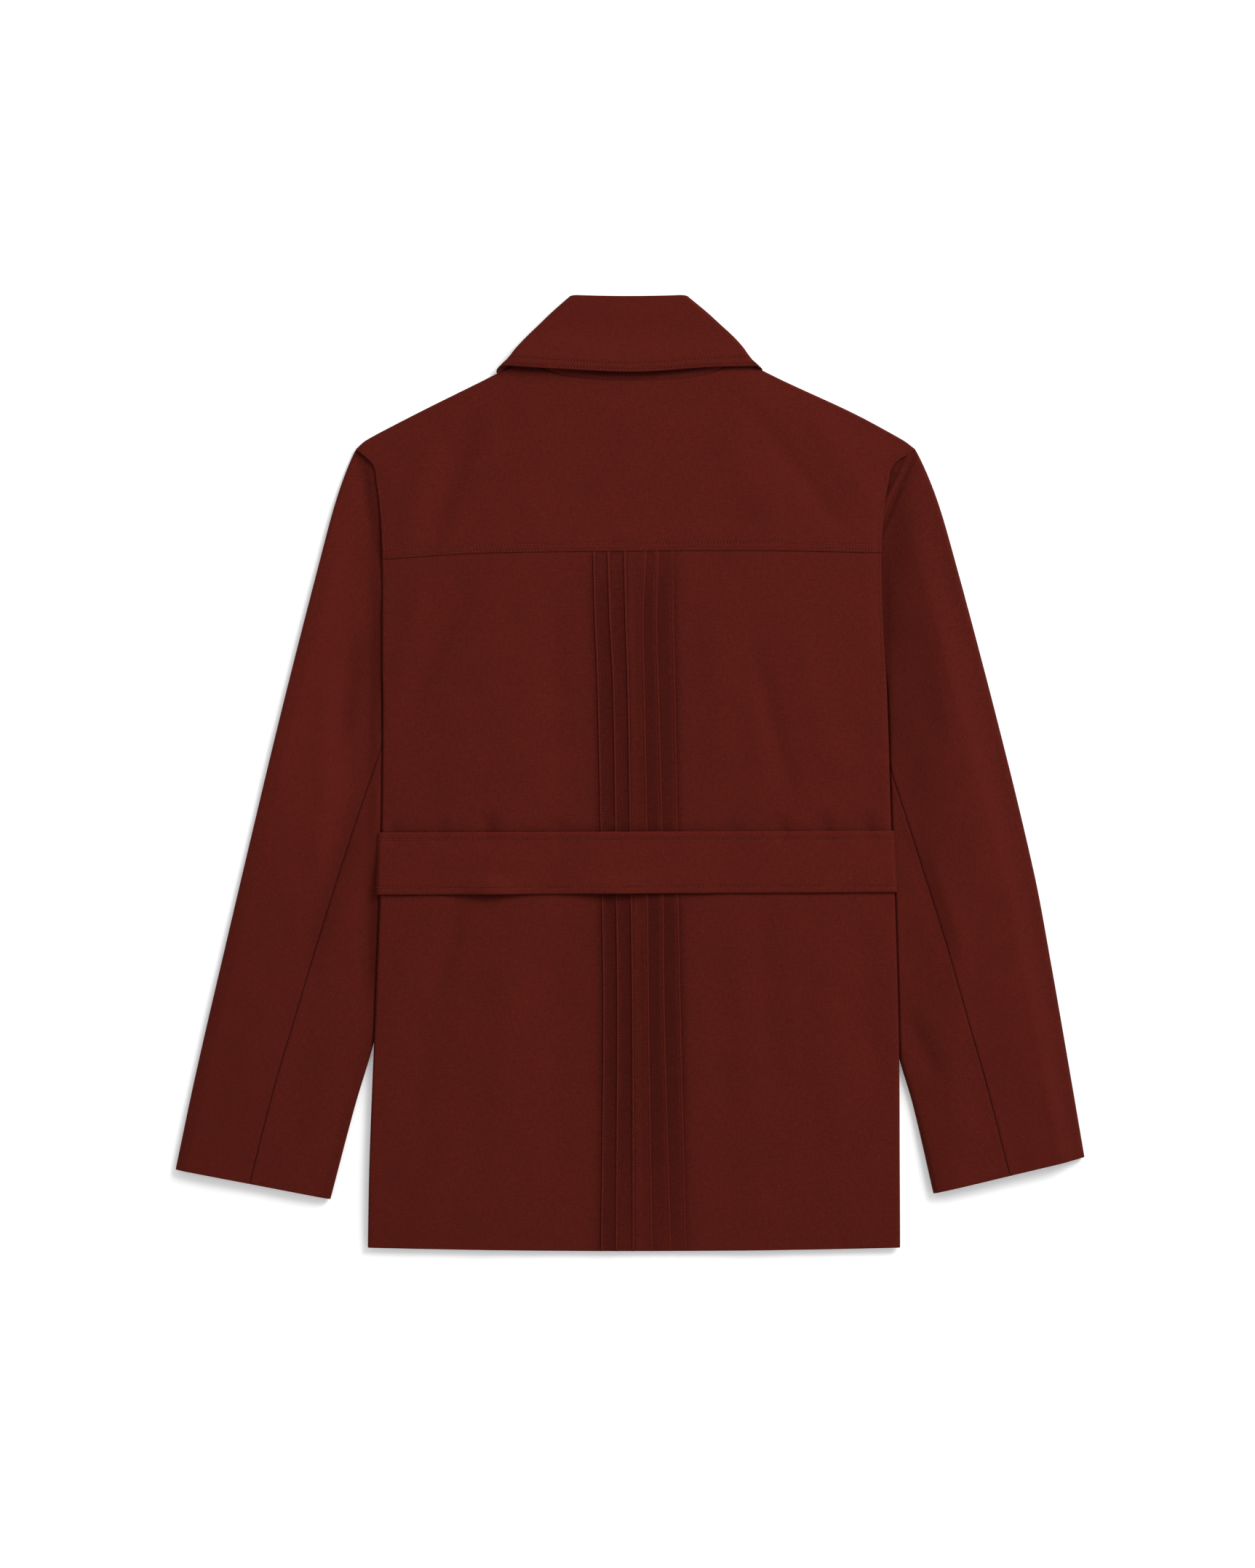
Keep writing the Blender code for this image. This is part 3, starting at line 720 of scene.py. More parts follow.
@dataclass(frozen=True)
class SleeveOutline:
    """A sleeve seen from above.

    Attributes:
        side: the side of the jacket that it is on.
        outer: points down its outer fold.
        inner: points down its inner fold, from under the body.
        head: points along its head, from the outer to the inner fold.
        elbow_at_head: the elbow seam's share across at the head.
        elbow_at_cuff: its share across at the cuff.
        elbow_bow: how much further out it runs half way down.
        fold_share: the share across over which the fullness eases off to the outer fold.
        full_rise: how much fuller the sleeve is away from the body.
        seam_rise: how far it stands up beside the body's edge.
        hollow_painted_shade: its painted shade beside the body, and how far that reaches.
        fade: how much lighter it is painted away from the body.
        fold_painted_shades: painted shade at the outer and the inner fold.
        creases: its folds.
    """

    side: Side
    outer: tuple[Point, ...]
    inner: tuple[Point, ...]
    head: tuple[Point, ...]
    elbow_at_head: float
    elbow_at_cuff: float
    elbow_bow: float
    fold_share: float
    full_rise: float
    seam_rise: float
    hollow_painted_shade: Point
    fade: float
    fold_painted_shades: Point
    creases: tuple[Crease, ...]

    def place(self, across: Array, down: Array) -> Array:
        """Places in the outline: a patch blended from the two folds, the head and the cuff.

        Args:
            across: shares from the outer to the inner fold.
            down: shares from head to cuff.

        Returns:
            An array of x and y.
        """
        a, d = across[..., None], down[..., None]
        outer, inner = along(self.outer, down), along(self.inner, down)
        cuff = mix(np.array(self.outer[-1]), np.array(self.inner[-1]), a)
        head = along(self.head, across)
        corners = mix(mix(np.array(self.head[0]), np.array(self.head[-1]), a), cuff, d)
        return mix(outer, inner, a) + mix(head, cuff, d) - corners

    def width(self, down: Array) -> Array:
        """The sleeve's width at shares of its length."""
        return np.linalg.norm(along(self.inner, down) - along(self.outer, down), axis=-1)

    def elbow(self, down: Array) -> Array:
        """Where the elbow seam runs, as a share across: a straight line less a parabola."""
        straight = mix(self.elbow_at_head, self.elbow_at_cuff, down)
        return straight - self.elbow_bow * 4 * down * (1 - down)


LEFT_SLEEVE = SleeveOutline(
    side=Side.LEFT,
    outer=(
        (-0.2262, 0.2750),
        (-0.2315, 0.2710),
        (-0.2458, 0.2342),
        (-0.2593, 0.1853),
        (-0.2966, 0.0385),
        (-0.3431, -0.1572),
        (-0.3657, -0.2550),
        (-0.3822, -0.3333),
    ),
    inner=((-0.1321, 0.0966), (-0.2165, -0.2305), (-0.2311, -0.2794), (-0.2519, -0.3583)),
    head=((-0.2262, 0.2750), (-0.2075, 0.2590), (-0.1950, 0.2281), (-0.1718, 0.1731), (-0.1321, 0.0966)),
    elbow_at_head=0.73,
    elbow_at_cuff=0.48,
    elbow_bow=0.050,
    fold_share=0.08,
    full_rise=0.0026,
    seam_rise=0.0018,
    # Painted shade beside the body, painted light away from it, and painted shade at the outer and the inner
    # fold
    hollow_painted_shade=(-0.28, 0.017),
    fade=0.30,
    fold_painted_shades=(0.0, -0.34),
    creases=(
        Crease((-0.229, 0.292), (-0.207, 0.150), 0.007, -0.0024),
        Crease((-0.213, 0.185), (-0.216, 0.010), 0.010, -0.0026),
        Crease((-0.226, 0.130), (-0.250, -0.005), 0.010, -0.0032),
        Crease((-0.240, 0.080), (-0.268, -0.110), 0.012, 0.0018),
        Crease((-0.228, -0.010), (-0.278, -0.190), 0.011, -0.0036),
        Crease((-0.217, -0.060), (-0.223, -0.215), 0.007, -0.0036),
        Crease((-0.290, 0.020), (-0.322, -0.130), 0.016, -0.0009),
        Crease((-0.296, -0.140), (-0.336, -0.310), 0.018, 0.0010),
        Crease((-0.262, -0.190), (-0.280, -0.330), 0.013, -0.0010),
    ),
)
RIGHT_SLEEVE = SleeveOutline(
    side=Side.RIGHT,
    outer=(
        (0.2352, 0.2752),
        (0.2409, 0.2710),
        (0.2568, 0.2342),
        (0.2715, 0.1853),
        (0.3104, 0.0385),
        (0.3398, -0.0838),
        (0.3536, -0.1572),
        (0.3706, -0.2550),
        (0.3822, -0.3229),
    ),
    inner=((0.1419, 0.0966), (0.2263, -0.2397), (0.2379, -0.2794), (0.2550, -0.3534)),
    head=((0.2352, 0.2752), (0.2130, 0.2592), (0.2018, 0.2281), (0.1798, 0.1731), (0.1419, 0.0966)),
    elbow_at_head=0.72,
    elbow_at_cuff=0.50,
    elbow_bow=0.0,
    fold_share=0.18,
    full_rise=0.0078,
    seam_rise=0.0,
    # Painted shade beside the body, painted light away from it, and painted shade at the outer and the inner
    # fold
    hollow_painted_shade=(-0.28, 0.066),
    fade=0.0,
    fold_painted_shades=(-0.28, -0.18),
    creases=(
        Crease((0.2454, 0.2950), (0.1975, 0.1850), 0.0036, 0.0032),
        Crease((0.2504, 0.2950), (0.2025, 0.1850), 0.0022, -0.0030),
        Crease((0.2380, 0.2760), (0.2060, 0.2290), 0.0046, -0.0046),
        Crease((0.2125, 0.2300), (0.2160, -0.0500), 0.0050, -0.0016),
        Crease((0.2240, 0.2900), (0.2110, 0.0600), 0.0140, -0.0022),
        Crease((0.2600, 0.3000), (0.3020, 0.0700), 0.020, 0.0020),
        Crease((0.2440, 0.1300), (0.2560, 0.0100), 0.012, -0.0014),
        Crease((0.2700, 0.0700), (0.3040, -0.1200), 0.015, 0.0014),
        Crease((0.2340, -0.0400), (0.2780, -0.1800), 0.008, -0.0020),
        Crease((0.2480, -0.0600), (0.2880, -0.1900), 0.009, 0.0014),
        Crease((0.2280, -0.1900), (0.2640, -0.2700), 0.009, -0.0018),
        Crease((0.3150, -0.1500), (0.3420, -0.3050), 0.018, 0.0009),
        Crease((0.2900, -0.2100), (0.2960, -0.3200), 0.014, -0.0009),
    ),
)


@dataclass(frozen=True)
class JacketForm:
    """The jacket's outline, seams and layers, which its pieces share."""

    cloth: float = 0.0009
    layer_gap: float = 0.0004
    centre_x: float = 0.0024
    edge_turn: float = 0.0022
    back_level: float = 0.0061
    # How far the back rises over the sleeves, where that begins off the centre and over what run
    side_rise: float = 0.0026
    rise_from: float = 0.050
    rise_run: float = 0.070
    # Between which heights along the body it rises, and over what run at both
    lift_ends: Point = (-0.440, 0.290)
    lift_run: float = 0.090
    # How far in from the edges folds begin, and over what run
    fold_clear: float = 0.002
    fold_run: float = 0.012
    underarm_y: float = 0.0845
    armhole_turn: float = 0.0006
    armhole_roll: float = 0.0012
    armhole_roll_run: float = 0.011
    armhole_roll_ease: float = 0.050
    turn_run: float = 0.030
    front_lap: float = 0.018
    front_inset: float = 0.0024
    # How far the fronts rise over the sleeves, over the collar's points and over each other
    over_sleeve: float = 0.0044
    sleeve_clear: float = 0.022
    sleeve_run: float = 0.045
    over_collar: float = 0.0021
    collar_from: float = 0.222
    collar_run: float = 0.049
    over_front: float = 0.0015
    over_front_run: float = 0.020
    neck_half_width: float = 0.0826
    neck_point_y: float = 0.3528
    back_neck_depth: float = 0.0220
    neck_roundness: float = 2.6
    seam_middle: float = 0.1865
    shoulder_reads: int = 400
    # Heights along the body, and where its left and right edges are
    body_edges: tuple[Triple, ...] = (
        (-0.3990, -0.2206, 0.2272),
        (-0.3284, -0.2192, 0.2268),
        (-0.2305, -0.2155, 0.2262),
        (-0.1033, -0.2104, 0.2226),
        (-0.0489, -0.2091, 0.2198),
        (0.0630, -0.2080, 0.2162),
        (0.1241, -0.2079, 0.2125),
        (0.1853, -0.2082, 0.2112),
        (0.2220, -0.2104, 0.2136),
        (0.2446, -0.2134, 0.2172),
        (0.2593, -0.2165, 0.2216),
        (0.2724, -0.2305, 0.2400),
    )
    shoulders: tuple[Triple, ...] = (
        (0.2724, -0.2305, 0.2400),
        (0.2807, -0.2208, 0.2287),
        (0.3027, -0.1796, 0.1886),
        (0.3320, -0.1207, 0.1255),
        (0.3528, -0.0802, 0.0850),
    )
    # The belt's lower and upper edge, at its left and its right end
    belt_low: Point = (-0.1024, -0.1002)
    belt_high: Point = (-0.0498, -0.0484)
    leaf_edge: tuple[Point, ...] = (
        (-0.1113, 0.3427),
        (-0.0660, 0.3397),
        (0.0055, 0.3369),
        (0.0667, 0.3410),
        (0.1113, 0.3422),
    )
    yoke_seam: tuple[Point, ...] = (
        (-0.2082, 0.1795),
        (-0.1214, 0.1847),
        (0.0208, 0.1867),
        (0.1049, 0.1869),
        (0.2112, 0.1850),
    )
    creases: tuple[Crease, ...] = (
        Crease((-0.126, 0.310), (-0.178, 0.170), 0.011, -0.0033),
        Crease((-0.156, 0.300), (-0.198, 0.176), 0.012, 0.0016),
        Crease((0.092, 0.318), (0.192, 0.186), 0.009, -0.0016),
        Crease((0.146, 0.314), (0.216, 0.205), 0.013, 0.0016),
        Crease((0.070, 0.304), (0.130, 0.190), 0.014, 0.0012),
        Crease((-0.060, 0.305), (-0.094, 0.188), 0.016, 0.0012),
        Crease((-0.126, 0.184), (-0.200, 0.020), 0.010, -0.0022),
        Crease((-0.166, 0.176), (-0.204, 0.060), 0.009, 0.0012),
        Crease((-0.150, 0.080), (-0.150, -0.045), 0.014, 0.0010),
        Crease((-0.066, 0.182), (-0.060, -0.042), 0.012, -0.0012),
        Crease((0.100, 0.130), (0.140, -0.050), 0.010, -0.0022),
        Crease((0.128, 0.160), (0.178, -0.030), 0.014, 0.0012),
        Crease((0.066, 0.165), (0.078, -0.040), 0.012, 0.0010),
        Crease((-0.202, -0.034), (-0.203, -0.066), 0.0060, -0.0022),
        Crease((-0.159, -0.034), (-0.160, -0.064), 0.0060, -0.0016),
        Crease((-0.119, -0.030), (-0.120, -0.066), 0.0075, -0.0028),
        Crease((-0.060, -0.034), (-0.060, -0.064), 0.0080, -0.0012),
        Crease((0.084, -0.036), (0.086, -0.064), 0.0080, -0.0010),
        Crease((0.1265, -0.032), (0.128, -0.064), 0.0065, -0.0020),
        Crease((0.1627, -0.030), (0.164, -0.066), 0.0065, -0.0022),
        Crease((0.199, -0.030), (0.200, -0.066), 0.0065, -0.0022),
        Crease((-0.134, -0.060), (-0.170, -0.220), 0.011, -0.0026),
        Crease((-0.160, -0.180), (-0.190, -0.320), 0.014, -0.0018),
        Crease((-0.176, -0.090), (-0.206, -0.240), 0.012, 0.0012),
        Crease((-0.090, -0.110), (-0.120, -0.340), 0.015, 0.0012),
        Crease((-0.140, -0.270), (-0.184, -0.410), 0.014, 0.0014),
        Crease((0.108, -0.080), (0.124, -0.310), 0.014, -0.0018),
        Crease((0.158, -0.090), (0.176, -0.340), 0.016, 0.0014),
        Crease((0.196, -0.110), (0.206, -0.300), 0.012, -0.0012),
        Crease((0.074, -0.100), (0.084, -0.385), 0.012, -0.0008),
        Crease((-0.066, -0.100), (-0.060, -0.385), 0.012, -0.0010),
    )

    def edge_x(self, y: Array, side: Side) -> Array:
        """Where the body's outline runs at heights y."""
        table = np.array(self.body_edges)
        return eased_through(table[:, 0], table[:, 1 if side is Side.LEFT else 2], y)

    def shoulder_y(self, x: Array) -> Array:
        """Heights of the shoulder lines at places across, outside the neck."""
        table = np.array(self.shoulders)
        levels = np.linspace(table[0, 0], table[-1, 0], self.shoulder_reads)
        left = eased_through(table[:, 0], table[:, 1], levels)
        right = eased_through(table[:, 0], table[:, 2], levels)
        on_right = np.interp(x, right[::-1], levels[::-1])
        return np.where(x < self.centre_x, np.interp(x, left, levels), on_right)

    def seam_y(self, x: Array) -> Array:
        """Heights of the yoke's seam at places across."""
        table = np.array(self.yoke_seam)
        return eased_through(table[:, 0], table[:, 1], x)

    def neck_y(self, x: Array) -> Array:
        """The back neck seam: a flattened half oval between the neck points."""
        share = np.clip(np.abs(x - self.centre_x) / self.neck_half_width, 0.0, 1.0)
        power = self.neck_roundness
        return self.neck_point_y - self.back_neck_depth * (1 - share**power) ** (1 / power)

    def aside(self, x: Array) -> Array:
        """How far places are towards the sides, eased from 0 near the middle to 1."""
        return smooth((np.abs(x - self.centre_x) - self.rise_from) / self.rise_run)

    def off_edges(self, distance: Array) -> Array:
        """How free the cloth is to fold at distances in from its edges, from 0 to 1."""
        return smooth((distance - self.fold_clear) / self.fold_run)

    def back_top(self, x: Array, y: Array) -> Array:
        """Height of the back's upper face: level, higher over the sleeves, with its creases."""
        loose = self.off_edges(self.edge_distance(x, y))
        folds = (crease_heights(self.creases, x, y) + slow_waves(x, y)) * loose
        off_right = self.edge_x(y, Side.RIGHT) - x
        roll = 1 - smooth(off_right / self.armhole_roll_run)
        roll = roll * smooth((y - self.underarm_y) / self.armhole_roll_ease)
        return self.back_level + self.side_lift(y) * self.aside(x) + folds - self.armhole_roll * roll

    def side_lift(self, y: Array) -> Array:
        """How far the back rises at its sides, over the sleeves: less at the hem and the shoulders."""
        low, high = self.lift_ends
        return self.side_rise * smooth((y - low) / self.lift_run) * smooth((high - y) / self.lift_run)

    def edge_distance(self, x: Array, y: Array) -> Array:
        """How far places are in from the body's side edges."""
        return np.minimum(x - self.edge_x(y, Side.LEFT), self.edge_x(y, Side.RIGHT) - x)

    def front_low(self, x: Array, y: Array, sleeve: SleeveOutline) -> Array:
        """Height of a front's lower face: on the floor, over the sleeve, or over the collar's points.

        Args:
            x: places across.
            y: places along.
            sleeve: the sleeve on that side.

        Returns:
            The heights.
        """
        underarm, way_out = np.array(sleeve.inner[0]), np.array(sleeve.inner[1])
        run = way_out - underarm
        across = np.array((-run[1], run[0])) * (-sleeve.side.value / math.hypot(*run))
        inside = (x - underarm[0]) * across[0] + (y - underarm[1]) * across[1]
        covers = 1 - smooth((inside - self.sleeve_clear) / self.sleeve_run)
        covers = covers * (1 - smooth((y - underarm[1]) / self.sleeve_run))
        at_collar = smooth((y - self.collar_from) / self.collar_run)
        low = self.over_sleeve * covers + self.over_collar * at_collar
        if sleeve.side is Side.RIGHT:
            lap_end = self.centre_x + self.front_lap + self.front_inset
            low = low + self.over_front * (1 - smooth((x - lap_end) / self.over_front_run))
        return low

    def side_depth(self, x: Array, y: Array) -> Array:
        """How far the back's side edges turn down: round the fronts below the underarms."""
        left = self.front_low(x, y, LEFT_SLEEVE)
        right = self.front_low(x, y, RIGHT_SLEEVE)
        full = self.back_top(x, y) - np.where(x < self.centre_x, left, right) - self.layer_gap
        return mix(self.armhole_turn, full, smooth((self.underarm_y - y) / self.turn_run))


FORM = JacketForm()


@dataclass
class BackYoke:
    """The yoke, from its seam, lapped over the back panel, up to the shoulders and the neck."""

    form: JacketForm = FORM
    lap: float = 0.008
    lap_lift: float = 0.0007
    lap_run: float = 0.020
    neck_clear: float = 0.0005
    tip_turn: float = 0.0012
    brow: float = 0.0016
    brow_run: float = 0.032
    rows_sewn: tuple[float, ...] = (0.0017, 0.0066)
    armhole_row: float = 0.0032
    row_gauge: StitchGauge = StitchGauge(
        pitch=0.0027, length=0.0026, radius=0.00032, tone_shift=0.10, tone_share=0.42
    )
    armhole_gauge: StitchGauge = StitchGauge(tone_share=0.3)
    top_band: float = 0.022
    # Painted shadow on the yoke under the collar leaf: its tone, how far below the leaf's edge it reaches,
    # its soft run, and the inset and run at its ends
    leaf_painted_shadow: float = -1.0
    leaf_reach: float = 0.0034
    leaf_soft: float = 0.0012
    leaf_end: Point = (0.002, 0.004)
    # First and last grid points of the rows along the seam and up the armholes
    row_ends: tuple[int, int] = (6, -6)
    armhole_ends: tuple[int, int] = (2, -8)
    # Half widths of the rows there, and the depths to which they pull in
    row_pull: Point = (0.0005, 0.00022)
    armhole_pull: Point = (0.0007, 0.00018)
    # The puff between the rows: its distance from the seam, half width and height
    puff: Triple = (0.0042, 0.0016, 0.00010)
    # Depths to which edges turn down, and their runs
    seam_edge: Point = (0.0007, 0.0009)
    neck_edge: Point = (0.0009, 0.0014)
    armhole_run: float = 0.0014
    inner_drop: float = 0.0002
    # Tones of the rows, then of worn edges with how far in they reach
    sewn_tones: Point = (-0.30, -0.12)
    seam_wear: Point = (0.04, 0.0008)
    armhole_wear: Point = (0.03, 0.0012)
    top_wear: Point = (0.05, 0.002)
    shoulder_columns: int = 44
    neck_columns: int = 61
    middle_rows: int = 44
    top_rows: int = 28
    low_steps: tuple[float, ...] = (
        0.0, 0.00025, 0.0006, 0.0011, 0.0017, 0.0023, 0.0029, 0.0036,
        0.0045, 0.0054, 0.0060, 0.0066, 0.0072, 0.0082, 0.0100,
    )
    side_steps: tuple[float, ...] = (0.0, 0.0004, 0.0010, 0.0019, 0.0026, 0.0032, 0.0038, 0.0055, 0.0080)
    cut: Cut = Cut(0.471, 0.176, 0.0620, ("front_left", "front_right", "collar_stand"))

    def columns(self) -> Array:
        """Places across the yoke's top: left shoulder, neck and right shoulder."""
        tips = self.form.shoulders[0]
        points = self.form.shoulders[-1]
        steps = np.array(self.side_steps)
        left = np.linspace(tips[1] + steps[-1], points[1], self.shoulder_columns)[1:-1]
        right = np.linspace(points[2], tips[2] - steps[-1], self.shoulder_columns)[1:-1]
        swing = np.linspace(-0.5, 0.5, self.neck_columns) * math.pi
        neck = self.form.centre_x + self.form.neck_half_width * np.sin(swing)
        return np.concatenate((tips[1] + steps, left, neck, right, tips[2] - steps[::-1]))

    def shell(self) -> ClothShell:
        """The yoke's wall: columns between its outlines, rows from the seam to the top, which turns down.

        Returns:
            The shell, with rows as columns of the jacket.
        """
        form = self.form
        place = self.columns()[:, None]
        tips, tip_y = form.shoulders[0], form.shoulders[0][0]
        across = (place - tips[1]) / (tips[2] - tips[1])
        seam_x = mix(
            form.edge_x(np.array(form.seam_middle), Side.LEFT),
            form.edge_x(np.array(form.seam_middle), Side.RIGHT),
            across,
        )
        low = form.seam_y(seam_x)
        in_neck = np.abs(place - form.centre_x) <= form.neck_half_width
        high = np.where(in_neck, form.neck_y(place) - self.neck_clear, form.shoulder_y(place))
        near = np.array(self.low_steps)
        top_steps = rounded_steps(form.edge_turn, EDGE_POINTS)[::-1]
        middle = np.linspace(0.0, 1.0, self.middle_rows)[1:]
        below_top = np.linspace(self.top_band, form.edge_turn, self.top_rows)[1:-1]
        y = np.concatenate(
            (
                low + near,
                mix(low + near[-1], high - self.top_band, middle[None, :]),
                high - below_top,
                high - top_steps,
            ),
            axis=1,
        )
        held = np.minimum(y, tip_y)
        left, right = form.edge_x(held, Side.LEFT), form.edge_x(held, Side.RIGHT)
        x = mix(left, right, across)
        from_seam, from_top = y - low, high - y
        from_side = np.minimum(place - tips[1], tips[2] - place) + np.zeros_like(y)
        to_neck = smooth((np.abs(place - form.centre_x) - form.neck_half_width) / form.turn_run)
        from_tip = smooth(from_side / form.turn_run)
        fronts = np.where(
            x < form.centre_x, form.front_low(x, y, LEFT_SLEEVE), form.front_low(x, y, RIGHT_SLEEVE)
        )
        top = form.back_top(x, y)
        depth = mix(self.tip_turn, top - fronts - form.layer_gap, from_tip) * to_neck
        lift = self.lap_lift * (1 - smooth((from_seam - self.lap) / self.lap_run))
        (row_width, row_depth), (side_width, side_depth) = self.row_pull, self.armhole_pull
        sewn = sum(bell(from_seam - row, row_width) for row in self.rows_sewn)
        side_sewn = bell(from_side - self.armhole_row, side_width)
        level = top + lift - row_depth * sewn - side_depth * side_sewn + puffed(from_seam, self.puff)
        level = level - self.brow * (1 - smooth(from_top / self.brow_run)) * to_neck * from_tip
        at_side = edge_drop(from_side, form.armhole_turn, self.armhole_run)
        at_neck = edge_drop(from_top, *self.neck_edge) * (1 - to_neck)
        turned = edge_drop(from_seam, *self.seam_edge) + at_side + at_neck
        outer = np.stack((x, y, level - edge_drop(from_top, depth, form.edge_turn) - turned), axis=-1)
        wall = form.cloth
        under = edge_drop(from_top, np.maximum(depth - wall, 0.0), form.edge_turn)
        inset = edge_drop(from_top, wall, form.edge_turn) * to_neck
        tip = edge_drop(from_side, self.inner_drop, self.armhole_run)
        inner = np.stack((x, y - inset, level - wall - under - tip), axis=-1)
        tone = self.sewn_tones[0] * sewn + self.sewn_tones[1] * side_sewn
        tone = tone + wear(from_seam, self.seam_wear) + wear(from_side, self.armhole_wear)
        tone = tone + wear(from_top, self.top_wear)
        # Painted shadow on the yoke beneath the collar leaf's free edge
        leaf_x, leaf_y = np.array(form.leaf_edge).T
        under_leaf = y - eased_through(leaf_x, leaf_y, x)
        end_inset, end_run = self.leaf_end
        beside_leaf = smooth((leaf_x[-1] - end_inset - np.abs(x)) / end_run)
        tone = tone + self.leaf_painted_shadow * smooth((under_leaf + self.leaf_reach) / self.leaf_soft) * beside_leaf
        return ClothShell("yoke_cloth", outer, inner, np.stack((x, y), axis=-1), tone)

    def build(self, finishes: Finishes) -> None:
        """Makes the yoke and sews its two rows and the armholes' rows.

        Args:
            finishes: the jacket's materials.
        """
        shell = self.shell()
        normals = shell.normals()
        rows = [self.low_steps.index(row) for row in self.rows_sewn]
        inside, up_side = slice(*self.row_ends), slice(*self.armhole_ends)
        lines = [(shell.outer[inside, row], normals[inside, row]) for row in rows]
        side = self.side_steps.index(self.armhole_row)
        armholes = [(shell.outer[k, up_side], normals[k, up_side]) for k in (side, -1 - side)]
        piece = shell.build(finishes.cloth)
        sewn = self.row_gauge.sew("yoke_stitches", lines, finishes.thread)
        sewn_sides = self.armhole_gauge.sew("armhole_stitches", armholes, finishes.thread)
        self.cut.declare(piece, "back_yoke", [sewn, sewn_sides])


@dataclass(frozen=True)
class TuckLine:
    """A stitched tuck: the way it is pressed, its share of the height and where its fold runs."""

    leans: Side
    stands: float
    folds: tuple[float, ...]


@dataclass
class BackPanel:
    """The back below the yoke, with six narrow tucks; its side edges turn down round the fronts."""

    form: JacketForm = FORM
    half_wall: float = 0.00052
    hem_sag: float = 0.0030
    hem_turn: float = 0.0009
    lap_dip: float = 0.0007
    belt_dips: Point = (0.0003, 0.0011)
    belt_run: float = 0.008
    # Painted shadows on the back below the belt's lower edge and above its upper edge: tone and half width
    belt_painted_shadows: tuple[Point, ...] = ((-0.75, 0.0013), (-0.50, 0.0011))
    plain_columns: int = 58
    strip_columns: int = 6
    tucks: tuple[TuckLine, ...] = (
        TuckLine(Side.LEFT, 0.52, (-0.0316, -0.0300, -0.0276, -0.0246, -0.0227, -0.0247)),
        TuckLine(Side.LEFT, 0.52, (-0.0194, -0.0176, -0.0146, -0.0124, -0.0111, -0.0123)),
        TuckLine(Side.LEFT, 0.52, (-0.0056, -0.0043, -0.0024, -0.0003, 0.0014, 0.0019)),
        TuckLine(Side.RIGHT, 0.45, (0.0140, 0.0114, 0.0125, 0.0150, 0.0160, 0.0191)),
        TuckLine(Side.RIGHT, 0.45, (0.0244, 0.0229, 0.0244, 0.0280, 0.0292, 0.0348)),
        TuckLine(Side.RIGHT, 0.45, (0.0376, 0.0369, 0.0382, 0.0404, 0.0427, 0.0475)),
    )
    fold_drops: tuple[float, ...] = (0.0, 0.055, 0.116, 0.261, 0.388, 0.588)
    # How much darker the strips between the tucks are: painted shade, as light reaches them less
    strip_painted_shades: tuple[Point, ...] = (
        (-0.74, -0.78),
        (-0.72, -0.78),
        (-0.32, -0.42),
        (-0.93, -0.66),
        (-0.91, -0.62),
    )
    strip_sink: float = 0.0003
    # Drops below the yoke's seam and shares of that painted shade there
    strip_shares: tuple[Point, ...] = (
        (-0.008, 0.55),
        (0.000, 0.55),
        (0.050, 1.00),
        (0.290, 1.00),
        (0.310, 1.18),
        (0.450, 1.15),
        (0.530, 0.80),
        (0.5855, 0.60),
    )
    # Painted shade beside the outer tucks, close to them and further off, and how far each reaches
    beside_painted_shades: tuple[Point, ...] = ((-0.42, 0.0030), (-0.40, 0.0075))
    # Drop below the yoke's seam, how high the tucks stand there and how far they lean
    stands: tuple[Triple, ...] = (
        (-0.008, 0.0002, 0.0024),
        (0.0000, 0.0008, 0.0024),
        (0.004, 0.0013, 0.0022),
        (0.030, 0.0016, 0.0014),
        (0.116, 0.0018, 0.0010),
        (0.218, 0.0018, 0.0010),
        (0.230, 0.0011, 0.0011),
        (0.294, 0.0011, 0.0011),
        (0.305, 0.0018, 0.0010),
        (0.388, 0.0018, 0.0010),
        (0.480, 0.0017, 0.0010),
        (0.5855, 0.0015, 0.0012),
    )
    # A tuck across itself: shares of its half wall, of its lean and of its height, and its painted light and
    # shade where it leans to the left and to the right
    profile: tuple[tuple[float, float, float, float, float], ...] = (
        (-4.40, 0.00, 0.00, -0.70, -0.50),
        (-3.40, 0.00, -0.02, -0.72, -0.45),
        (-2.60, 0.00, -0.06, -0.85, -0.35),
        (-1.00, 0.04, 0.06, -0.90, 0.00),
        (-0.97, 0.22, 0.34, -0.65, 0.05),
        (-0.95, 0.55, 0.70, -0.25, 0.10),
        (-0.75, 0.86, 0.92, 0.05, 0.16),
        (-0.25, 1.00, 1.00, 0.12, 0.24),
        (0.30, 1.05, 0.97, 0.12, 0.20),
        (0.78, 1.05, 0.86, 0.12, 0.00),
        (1.00, 0.96, 0.70, 0.15, -0.20),
        (1.00, 0.66, 0.42, 0.45, -0.75),
        (0.95, 0.28, 0.17, 0.50, -0.95),
        (1.05, 0.00, 0.02, 0.50, -0.95),
        (2.00, 0.00, 0.00, 0.40, -0.90),
        (3.40, 0.00, 0.00, -0.20, -0.85),
    )
    stitch_point: int = 2
    # The tucks that lean to the right hide their stitching below this drop
    right_sewn: float = 0.032
    gauge: StitchGauge = StitchGauge(radius=0.0003, tone_shift=0.05, tone_share=0.7)
    # The columns in which the lower ends of the armholes are sewn
    armhole_columns: tuple[int, int] = (7, -8)
    plain_rows: int = 180
    # The band of finer rows at the hem, the run of those rows and their count
    hem_band: float = 0.002
    hem_run: float = 0.0015
    hem_rows: int = 5
